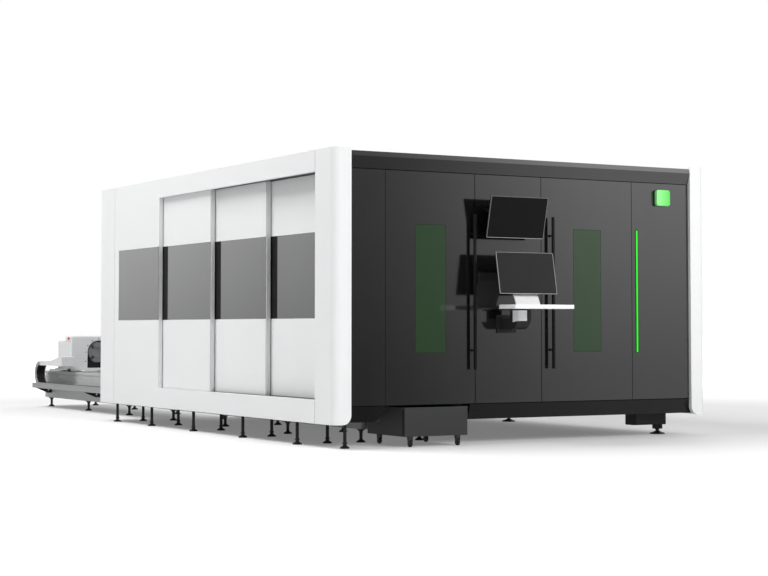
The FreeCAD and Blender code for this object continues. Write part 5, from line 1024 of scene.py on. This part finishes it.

# ---- side windows ----
# Dark tinted protective glass in the side wall and the sliding leaves, flush with the sheet outside. A black
# strip along the rear edge of each leaf's glass is a painted reflection of the next leaf's edge and painted
# shade of the gap beside it. Smudges only show as a slow change of gloss.
GLASS_Z = (1040.0, 1750.0)
LEAF_Z = (386.0, 2225.0)
LEAF_LENGTH = 1180.0
STILE_DEPTH = 8.0
REFLECTION_STRIPS = (("front", 135.0, 1276.9, 1502.1), ("middle", 90.0, 2348.8, 2571.9), ("rear", 45.0, 3485.0, 3643.9))
LEAVES = (("front", 135.0, 322.0, 16.0), ("middle", 90.0, 1391.9, 12.0), ("rear", 45.0, 2463.8, 9.0))
LEAF_SHADOW_TOP = 2246.5
FIXED_STILE_Y = (3599.6, 3612.0)
side_glass = painted("dark_tinted_glass", (0.05, 0.052, 0.054), 0.12, drift=0.1, spread=0.10, size=3.0,
                     depth=0.0, index=5.0)
give(side_glass, "fixed_side_glass", "side_glass_front", "side_glass_middle", "side_glass_rear")
painted_reflection_black = painted("painted_reflection_strip", (0.009, 0.009, 0.0095), 0.3, drift=0.1, index=1.2)
stile_coat = painted("stile_white_coat", (0.80, 0.805, 0.81), 0.42, drift=0.02)
joint_and_shadow_dark = painted("joint_line_and_painted_shadow", (0.02, 0.02, 0.021), 0.5)
# Black strips on each leaf's glass: painted reflection of the next leaf's edge and painted shade of its gap.
for name, x, y0, y1 in REFLECTION_STRIPS:
    margin = box_piece(f"glass_painted_reflection_{name}", (x - 0.6, y0, GLASS_Z[0] + 0.5),
                       (x + 1.5, y1, GLASS_Z[1] - 0.5))
    inset(margin, 'X', -1, 1.5, 0.2)
    dress(margin, painted_reflection_black, f"leaf_{name}")

# The front end of each leaf is a white folded stile that also covers the end of its glass.
for name, x, y, shadow_height in LEAVES:
    body = f"leaf_{name}"
    # A dark strip along each leaf's top is painted shadow under the top rail, taller on deeper leaves.
    strip = box_piece(f"leaf_top_painted_shadow_{name}", (x - 0.9, y + 9, LEAF_SHADOW_TOP + 0.5 - shadow_height),
                      (x + 2, y + LEAF_LENGTH - 2, LEAF_SHADOW_TOP))
    dress(softened(strip, 0.4, 1), joint_and_shadow_dark, body)
    stile = box_piece(f"leaf_stile_{name}", (x - 0.4, y - 0.4, LEAF_Z[0] + 1),
                      (x + 36.2, y + STILE_DEPTH, LEAF_Z[1] - 1))
    rounded(stile, 'Z', 1.5)
    dress(stile, stile_coat, body)
    line = box_piece(f"leaf_line_{name}", (x - 0.8, y + STILE_DEPTH - 0.5, LEAF_Z[0] + 1),
                     (x + 1, y + STILE_DEPTH + 4.5, LEAF_Z[1] - 1))
    rounded(line, 'Z', 0.3, 1, lambda place: place.x < x)
    dress(line, joint_and_shadow_dark, body)
stile = box_piece("fixed_panel_stile", (0, FIXED_STILE_Y[0], GLASS_Z[0]),
                  (37.9, FIXED_STILE_Y[1], GLASS_Z[1]))
rounded(stile, 'Z', 1.5, 2, lambda place: place.y < FIXED_STILE_Y[0] + 1.4)
dress(stile, stile_coat, "machine")
line = box_piece("fixed_panel_line", (0, FIXED_STILE_Y[1] - 0.5, GLASS_Z[0] + 0.5),
                 (2, FIXED_STILE_Y[1] + 5, GLASS_Z[1] - 0.5))
inset(line, 'X', -1, 1, 0.2)
dress(line, joint_and_shadow_dark, "machine")

# ---- side door tracks ----
# Grooved aluminium bars over and under the leaves, anodised dark, each screwed to the rails. The leaves hang
# on fins with nylon wear strips.
TRACK_SCREWS = ((83.5, 420, 349.4), (128.5, 420, 349.4))
give(drawn_metal("anodised_track", (0.10, 0.10, 0.103), 0.45), "side_door_tracks")
track_screws = [in_a_row(cap_screw(place, 'Z', -1, 4), 15, (0, 300, 0)) for place in TRACK_SCREWS]
dress(joined("track_screws", track_screws), screw_steel, "machine")

# ---- dark front ----
# Front cap, panels, doors and skirts are folded steel with a black high-gloss coat. A trace of orange peel
# and faint wiping marks break the gloss. The seams between them are plain dark gaps.
FRONT_FACE = 30.0
SEAM_XS = (1345, 2010)
SEAM_Z = (341.0, 2236.0)
FRONT_X = (167, 3598)
DOOR_SEAM_XS = (490, 2970)
KNUCKLE_ZS = (480, 485, 1290, 1295, 2095, 2100)
ORANGE_PEEL = 0.000004

# Slow cloudy marks that wiping leaves on a gloss face.
wiping_marks, given, result = new_group("wiping_marks", {"Clean": 0.07, "Wiped": 0.12}, {"Roughness": 0.0})
drawn_out = node(wiping_marks, "Mapping", {"Vector": object_place(wiping_marks),
                                           "Rotation": (0, math.radians(28), 0), "Scale": (2.6, 1.0, 0.9)})
cloud = node(wiping_marks, "TexNoise", {"Scale": 2.2, "Detail": 6.0, "Vector": drawn_out.outputs[0]})
spread = node(wiping_marks, "MapRange", {"From Min": 0.35, "From Max": 0.7, "Value": cloud.outputs["Fac"],
                                         "To Min": given["Clean"], "To Max": given["Wiped"]})
join(wiping_marks, result, {"Roughness": spread.outputs["Result"]})


def gloss(name, colour, clean, wiped, index):
    """High-gloss coat or glass with wiping marks and a trace of orange peel."""
    finish = painted(name, colour, 0.1, drift=0.05, size=140.0, depth=ORANGE_PEEL, index=index)
    tree = finish.node_tree
    marks = node(tree, "Group", {"Clean": clean, "Wiped": wiped}, node_tree=wiping_marks)
    feed_shader(tree, {"Roughness": marks.outputs["Roughness"]})
    return finish


give(gloss("gloss_black_coat", (0.006, 0.006, 0.0065), 0.07, 0.11, 2.2), "front_fixed_panels", "left_door",
     "right_door")
give(gloss("cap_black_coat", (0.006, 0.006, 0.0065), 0.07, 0.11, 2.75), "front_cap")
give(gloss("skirt_black_coat", (0.005, 0.005, 0.0055), 0.16, 0.24, 1.55), "front_skirts")
backing = [box_piece("seam", (x - 3.4, FRONT_FACE + 40, SEAM_Z[0]), (x + 3.4, FRONT_FACE + 44.8, SEAM_Z[1]))
           for x in SEAM_XS]
backing += [box_piece("seam", (FRONT_X[0], FRONT_FACE + 30, z), (FRONT_X[1], FRONT_FACE + 44, z + 7))
            for z in (SEAM_Z[1] + 0.5, SEAM_Z[0] - 7.5)]
dress(joined("front_seam_backing", backing), dark_gap, "machine")

# The doors turn on slim black hinge barrels that fill their seams, with thin dark rings as knuckle joints.
give(painted("hinge_black", (0.010, 0.010, 0.0105), 0.35, metallic=0.3), "door_hinges")
knuckles = [turned("knuckle", ((2.75, 0), (2.75, 1.6)), (x, FRONT_FACE + 2.5, z), 'Z', 12)
            for x in DOOR_SEAM_XS for z in KNUCKLE_ZS]
dress(joined("hinge_knuckles", knuckles), dark_gap, "machine")

# ---- door windows ----
# Green laser-filter panes set flush in both doors, with a narrow black rebate round them. Clips behind hold
# each pane.
WINDOWS = (("door_left", 770.0, 1060.0), ("door_right", 2345.0, 2635.0))
WINDOW_Z = (760.0, 1806.0)
REBATE = 1.2
CLIP_Y = (72.0, 78.0)
CLIP_ZS = (800, 1283, 1766)
give(gloss("green_filter_glass", (0.0135, 0.042, 0.0135), 0.07, 0.12, 1.75), "left_door_window",
     "right_door_window")
for body, x0, x1 in WINDOWS:
    z0, z1 = WINDOW_Z
    lining = []
    for low_x, high_x, low_z, high_z in ((x0 - REBATE, x0 + REBATE, z0 - REBATE, z1 + REBATE),
                                         (x1 - REBATE, x1 + REBATE, z0 - REBATE, z1 + REBATE),
                                         (x0 + 1, x1 - 1, z0 - REBATE, z0 + REBATE),
                                         (x0 + 1, x1 - 1, z1 - REBATE, z1 + REBATE)):
        strip = box_piece("window_strip", (low_x, FRONT_FACE - 0.4, low_z), (high_x, FRONT_FACE + 4, high_z))
        inset(strip, 'Y', -1, 0.4, 0.1)
        lining.append(strip)
    dress(joined(f"{body}_window_lining", lining), dark_gap, body)
    clips = []
    for z in CLIP_ZS:
        for x in (x0 + 4, x1 - 4):
            clip = box_piece("pane_clip", (x - 14, CLIP_Y[0], z - 20), (x + 14, CLIP_Y[1], z + 20))
            clips += [softened(clip, 1.5), cap_screw((x, CLIP_Y[1], z), 'Y', 1, 5)]
    dress(joined(f"{body}_pane_clips", clips), screw_steel, body)

# ---- door handles ----
# Long flat pull bars in black-coated aluminium, each on two round posts with collars against the door.
# Washers and cap screws hold the posts from inside.
PULL_BARS = (("left", 1312.0), ("right", 2098.0))
BAR_Z = (620, 1900)
POST_ZS = (777, 1743)
POST = ((7, -13), (7, 27), (12, 27.5), (12, 29), (13, 30.2))
POST_COLLAR = ((9.5, -12.5), (9.5, -9), (7.5, -8))
INNER_WASHER = ((13, 74), (13, 77), (11, 78))
handle_black = gloss("handle_black_coat", (0.007, 0.007, 0.0075), 0.22, 0.3, 1.36)
for name, x in PULL_BARS:
    bar = box_piece(f"{name}_pull_bar", (x - 12, -34, BAR_Z[0]), (x + 12, -12, BAR_Z[1]))
    rounded(bar, 'Z', 5, 4)
    for out in (-1, 1):
        inset(bar, 'Z', out, 1.5, 1)
    parts = [softened(bar, 0.6, 1)] + [turned("post", profile, (x, 0, z), 'Y') for z in POST_ZS
                                       for profile in (POST, POST_COLLAR)]
    bar = joined(f"{name}_pull_bar", parts)
    dress(bar, handle_black, f"door_{name}")
    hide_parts(f"{name}_door_handle")
    fixings = []
    for z in POST_ZS:
        fixings += [turned("washer", INNER_WASHER, (x, 0, z), 'Y'), cap_screw((x, 78, z), 'Y', 1, 7)]
    dress(joined(f"{name}_handle_fixings", fixings), screw_steel, f"door_{name}")

# ---- status light ----
# Slim green light strip behind a milky lens in a black channel of the right-hand panel. The diodes behind it
# show as a faint change of tone along its length.
LIGHT_X = (3010.0, 3040.0)
LIGHT_Z = (746.0, 1820.0)
CHANNEL_Y = (27.2, 43.9)
LENS_Y = (25.5, 30.0)
LENS_INSET = 6.0
light_green = bpy.data.materials.new("green_light_lens")
light_green.use_nodes = True
tree = light_green.node_tree
diodes = node(tree, "TexWave", {"Scale": 18.0, "Vector": object_place(tree)}, bands_direction='Z')
glow = mixed(tree, diodes.outputs["Fac"], (0.002, 0.60, 0.001, 1), (0.006, 0.78, 0.003, 1))
feed_shader(tree, {"Base Color": (0.02, 0.4, 0.01, 1), "Roughness": 0.35,
                   "Emission Strength": 1.0, "Emission Color": glow})
channel = box_piece("light_channel", (LIGHT_X[0], CHANNEL_Y[0], LIGHT_Z[0]),
                    (LIGHT_X[1], CHANNEL_Y[1], LIGHT_Z[1]))
work(channel, 'EDGE', lambda place, along: place.y < CHANNEL_Y[0] + 0.8, bpy.ops.mesh.bevel, offset=0.0022,
     segments=3)
bpy.ops.object.shade_smooth_by_angle(angle=SMOOTH_BELOW)
dress(channel, handle_black, "machine")
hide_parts("status_light")
lens = box_piece("light_lens", (LIGHT_X[0] + LENS_INSET, LENS_Y[0], LIGHT_Z[0] + LENS_INSET),
                 (LIGHT_X[1] - LENS_INSET, LENS_Y[1], LIGHT_Z[1] - LENS_INSET))
rounded(lens, 'Z', 3.5, 4, lambda place: place.y < LENS_Y[0] + 0.5)
rounded(lens, 'X', 2, 2, lambda place: place.y < LENS_Y[0] + 0.5)
bpy.ops.object.shade_smooth_by_angle(angle=math.radians(50))
dress(lens, light_green, "machine")
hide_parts("status_light")

# ---- green tile ----
# Plain square tile of glossy green acrylic with rounded corners, standing off the panel on a black base.
# Its green is lighter on the left and deepens to the right: a painted highlight.
TILE_X = (3222.0, 3370.0)
TILE_Z = (2038.0, 2180.0)
TILE_FRONT = -12.0
tile = box_piece("acrylic_tile", (TILE_X[0], TILE_FRONT, TILE_Z[0]), (TILE_X[1], 20, TILE_Z[1]))
rounded(tile, 'Y', 22, 8)
work(tile, 'EDGE', lambda place, along: place.y < TILE_FRONT + 0.1, bpy.ops.mesh.bevel, offset=0.006,
     segments=4)
bpy.ops.object.shade_smooth_by_angle(angle=SMOOTH_BELOW)
tile_green = painted("green_acrylic", (0.12, 0.80, 0.12), 0.16, drift=0.05, depth=0.0)
tree = tile_green.node_tree
# The green lightens towards the left side as a painted highlight.
centred = node(tree, "Mapping", {"Vector": object_place(tree),
                                 "Location": (MIDDLE_X - TILE_X[0] / 1000, 0, 0)})
across = node(tree, "SeparateXYZ", {0: centred.outputs[0]}).outputs["X"]
painted_highlight_fade = node(tree, "MapRange", {"From Max": (TILE_X[1] - TILE_X[0]) / 1000, "Value": across})
shade = mixed(tree, painted_highlight_fade.outputs["Result"], (0.36, 0.95, 0.34, 1), (0.10, 0.72, 0.10, 1))
feed_shader(tree, {"Base Color": shade})
dress(tile, tile_green, "machine")
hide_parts("front_tile")
tile_base = box_piece("tile_base", (TILE_X[0] + 6, 14, TILE_Z[0] + 6),
                      (TILE_X[1] - 6, FRONT_FACE, TILE_Z[1] - 6))
rounded(tile_base, 'Y', 18, 6)
dress(tile_base, handle_black, "machine")
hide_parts("front_tile")

# ---- console arm ----
# Curved black-coated arm casting, bolted to the middle front panel, with a white sleeve under the table.
# The table turns on a swivel whose dark ring shows under its front edge.
CONSOLE_X = 1650.0
SLEEVE = ((1584.2, -259.8, 1008.0), (1672.0, -160.0, 1106.5))
SLEEVE_RISE = 12
SWIVEL_RING = ((66, 1106), (66, 1109), (69, 1110), (69, 1116), (66, 1117.5))
SWIVEL_Y = -190
FLANGE_SCREWS = ((-83, 83), 20, (935, 1055), 6)
BRACKET_SCREWS = ((-45, 45), 22, (1831, 1921), 5)
console_white = painted("console_white_coat", (0.90, 0.905, 0.91), 0.3, drift=0.03)
give(console_white, "keyboard_table")
arm_black = painted("console_arm_black", (0.024, 0.024, 0.025), 0.34, drift=0.15)
give(arm_black, "console_brackets")
bracket_screws = [cap_screw((CONSOLE_X + x, y, z), 'Y', -1, radius)
                  for xs, y, zs, radius in (FLANGE_SCREWS, BRACKET_SCREWS) for x in xs for z in zs]
dress(joined("console_bracket_screws", bracket_screws), arm_black, "machine")
sleeve = box_piece("console_arm_sleeve", *SLEEVE)
rounded(sleeve, 'Z', 12, 4)
work(sleeve, 'VERT', lambda place, normal: place.z < SLEEVE[0][2] + SLEEVE_RISE and place.y < -200,
     bpy.ops.transform.translate, value=(0, 0, SLEEVE_RISE / 1000))
softened(sleeve, 1.5)
dress(sleeve, console_white, "machine")
ring = turned("swivel_ring", SWIVEL_RING, (CONSOLE_X, SWIVEL_Y, 0), 'Z', 48)
dress(ring, handle_black, "console_table")

# ---- keyboard table ----
# Pressed white tray with a raised rim. A low black keyboard and a red trackball in its ring lie in it.
BOARD = ((1400, -510, 1125.5), (1840, -375, 1138))
FIRST_KEY = ((1408, -396, 1137.5), (1424, -381, 1143))
TRACKBALL_PLACE = (1893, -440, 1127)
TRACKBALL = ((9, -3), (15, 1), (17.5, 6), (15, 12), (9, 16), (3, 17.5))
TRACKBALL_RING = ((24, -2), (24, 4), (21, 7), (17, 7), (16, 3))
key_black = painted("key_black", (0.018, 0.018, 0.019), 0.45, drift=0.2)
board = box_piece("keyboard_body", *BOARD)
rounded(board, 'Z', 8, 3)
dress(softened(board, 1.5), key_black, "console_table")
keys = box_piece("keyboard_key", *FIRST_KEY)
work(keys, 'FACE', lambda place, normal: normal.z > 0.9, bpy.ops.transform.resize, value=(0.8, 0.8, 1))
in_a_row(keys, 22, (19.5, 0, 0))
in_a_row(keys, 6, (0, -19, 0))
key_grey = painted("key_dark_grey", (0.035, 0.035, 0.037), 0.5, drift=0.1)
dress(keys, key_grey, "console_table")
ball = turned("table_trackball", TRACKBALL, TRACKBALL_PLACE)
ring = turned("trackball_ring", TRACKBALL_RING, TRACKBALL_PLACE)
dress(ball, red_plastic, "console_table")
dress(ring, key_black, "console_table")

# ---- monitors ----
# Flat industrial monitors: a thin silver frame round dark glass, and a black back case with cooling slots
# and a square mounting plate. The lower one leans back on the table's neck, the upper one forward.
SCREEN_HALF = (282.5, 174.0)
SCREENS = (("lower", -282.0, 1412.0, 10.6, "screen_low", (0.018, 0.018, 0.0185)),
           ("upper", -152.0, 1876.0, -13.2, "screen_high", (0.006, 0.006, 0.0065)))
GLASS_INSET = 4.2
CASE_BULGE = 11.8
PLATE_HALF = 50.0
PLATE_BACK = 33.0
PLATE_SCREW = 38.0
EAR_X = (20.6, 32.4)
PIN = ((8.6, -32), (8.6, 32))
silver_frame = drawn_metal("silver_bezel", (0.74, 0.745, 0.75), 0.32)
case_black = painted("screen_case_black", (0.012, 0.012, 0.013), 0.35, drift=0.2)


def screen_box(name, margin, near, far):
    """Box round the origin, smaller than the screen by a margin, between two distances from its face."""
    half_width, half_height = (half - margin for half in SCREEN_HALF)
    return box_piece(name, (-half_width, near, -half_height), (half_width, far, half_height))


def leaned(piece, y, z, tilt):
    """Lean a piece that was made round the origin of the screen and put it in its place."""
    place = Matrix.Translation(spot(CONSOLE_X, y, z))
    lean = Matrix.Rotation(math.radians(-tilt), 4, 'X')
    piece.data.transform(place @ lean @ Matrix.Translation(-spot(0, 0, 0)))


for name, y, z, tilt, body, tone in SCREENS:
    bezel = screen_box(f"{name}_bezel", 0, 0, 8)
    rounded(bezel, 'Y', 6, 4)
    inset(bezel, 'Y', -1, 4.5, -1.2)
    glass = screen_box(f"{name}_glass", GLASS_INSET, 0.9, 3)
    rounded(glass, 'Y', 2)
    case = screen_box(f"{name}_case", 1, 7, 18)
    rounded(case, 'Y', 6, 4)
    inset(case, 'Y', 1, 50)
    work(case, 'FACE', lambda place, normal: normal.y > 0.9 and abs(place.x) < 1 and abs(place.z) < 1,
         bpy.ops.mesh.extrude_region_move, TRANSFORM_OT_translate={"value": (0, CASE_BULGE / 1000, 0)})
    work(case, 'FACE', lambda place, normal: normal.y > 0.9 and place.y > 29, bpy.ops.transform.resize,
         value=(0.86, 1, 0.8), center_override=spot(0, 18 + CASE_BULGE, 0))
    softened(case, 2.0, 3, 30)
    plate = box_piece("plate", (-PLATE_HALF, PLATE_BACK - 5, -PLATE_HALF),
                      (PLATE_HALF, PLATE_BACK, PLATE_HALF))
    fittings = [softened(plate, 2.5)]
    for inner, outer in ((-EAR_X[1], -EAR_X[0]), EAR_X):
        ear = box_piece("ear", (inner, 30, -13), (outer, 77, 13))
        rounded(ear, 'X', 12.8, 6, lambda place: place.y > 70)
        fittings.append(softened(ear, 0.8, 1))
    fittings.append(turned("pin", PIN, (0, 64, 0), 'X', 20))
    fittings += [cap_screw((across, PLATE_BACK, up), 'Y', 1, 4) for across in (-PLATE_SCREW, PLATE_SCREW)
                 for up in (-PLATE_SCREW, PLATE_SCREW)]
    mount = joined(f"{name}_mount", fittings)
    vents = in_a_row(box_piece(f"{name}_vents", (-150, 28.6, 92), (150, 30.2, 94.5)), 5, (0, 0, 6))
    screen_look = gloss(f"{name}_screen_glass", tone, 0.10, 0.16, 1.35)
    for piece, finish in ((bezel, silver_frame), (glass, screen_look), (case, case_black),
                          (mount, case_black), (vents, dark_gap)):
        leaned(piece, y, z, tilt)
        dress(piece, finish, body)
        if piece != vents:
            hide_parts(f"{name}_monitor")

# ---- scrap trolley ----
# Open bin of folded and spot-welded sheet in dark grey paint, with a rolled rim and black edge strips beside
# its front plate. It rolls on four casters with rubber tyres and dark plated forks.
BIN_X = (640.0, 1240.0)
BIN_Y = (-20.0, 600.0)
RIM_Z = (306.0, 320.6)
RIM_WIDTH = 8.0
STRIP_LOW = (-11, 94)
STRIP_HIGH = (15, 305)
WHEEL_Z = 29.0
NUT_FACE = 15.5
TYRE = ((17, -10.4), (25.5, -10.8), (28, -8.5), (28.9, -4), (28.9, 4), (28, 8.5), (25.5, 10.8), (17, 10.4))
HUB = ((6.5, -10.9), (11, -10.9), (12, -9.5), (17.5, -10.6), (17.5, 10.6), (12, 9.5), (11, 10.9), (6.5, 10.9))
CASTERS = (("front_left", 715.0, 22.0, "wheel_fl", "fork_left"),
           ("front_right", 1165.0, 22.0, "wheel_fr", "fork_right"),
           ("rear_left", 715.0, 525.0, "wheel_rl", "trolley"),
           ("rear_right", 1165.0, 525.0, "wheel_rr", "trolley"))
trolley_paint = painted("trolley_dark_grey", (0.040, 0.040, 0.042), 0.42, drift=0.12)
give(trolley_paint, "trolley_bin")
rims = [box_piece("rim", (x0, y0, RIM_Z[0]), (x1, y1, RIM_Z[1])) for x0, x1, y0, y1 in (
    (BIN_X[0] + 1, BIN_X[1] - 1, BIN_Y[0] - 0.6, BIN_Y[0] + RIM_WIDTH),
    (BIN_X[0] + 1, BIN_X[1] - 1, BIN_Y[1] - RIM_WIDTH, BIN_Y[1] + 0.6),
    (BIN_X[0] - 0.6, BIN_X[0] + RIM_WIDTH, BIN_Y[0] + 1, BIN_Y[1] - 1),
    (BIN_X[1] - RIM_WIDTH, BIN_X[1] + 0.6, BIN_Y[0] + 1, BIN_Y[1] - 1))]
dress(softened(joined("trolley_rim", rims), 2.0, 3), trolley_paint, "trolley")
strips = [box_piece("edge_strip", (x, *STRIP_LOW), (x + 4, *STRIP_HIGH))
          for x in (BIN_X[0] - 1, BIN_X[1] - 3)]
dress(softened(joined("trolley_edge_strips", strips), 0.8, 1), dark_gap, "trolley")

tyre_rubber = painted("tyre_rubber", (0.016, 0.016, 0.0165), 0.55, drift=0.2)
zinc = painted("dark_zinc_plate", (0.045, 0.045, 0.047), 0.35, drift=0.15)
hub_grey = painted("hub_grey_plastic", (0.10, 0.10, 0.105), 0.45)
give(zinc, "rear_forks", "caster_fork_front_left", "caster_fork_front_right")
for name, x, y, wheel, fork in CASTERS:
    tyre = turned(f"caster_tyre_{name}", TYRE, (x, y, WHEEL_Z), 'X', 40)
    dress(tyre, tyre_rubber, wheel)
    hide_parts(f"caster_wheel_{name}")
    rib = box_piece("hub_rib", (x - 10.7, y - 16.5, WHEEL_Z - 1.4), (x + 10.7, y + 16.5, WHEEL_Z + 1.4))
    cross = box_piece("hub_cross", (x - 10.7, y - 1.4, WHEEL_Z - 16.5), (x + 10.7, y + 1.4, WHEEL_Z + 16.5))
    hub = joined(f"caster_hub_{name}", [turned("hub", HUB, (x, y, WHEEL_Z), 'X'), softened(rib, 0.5, 1),
                                        softened(cross, 0.5, 1)])
    dress(hub, hub_grey, wheel)
    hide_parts(f"caster_wheel_{name}")
    bolts = [turned("axle_nut", ((6.5, -0.5 * side), (6.5, 1.6 * side), (5.8, 2 * side)),
                    (x + side * NUT_FACE, y, WHEEL_Z), 'X', 6) for side in (-1, 1)]
    dress(joined(f"axle_nuts_{name}", bolts), zinc, fork)
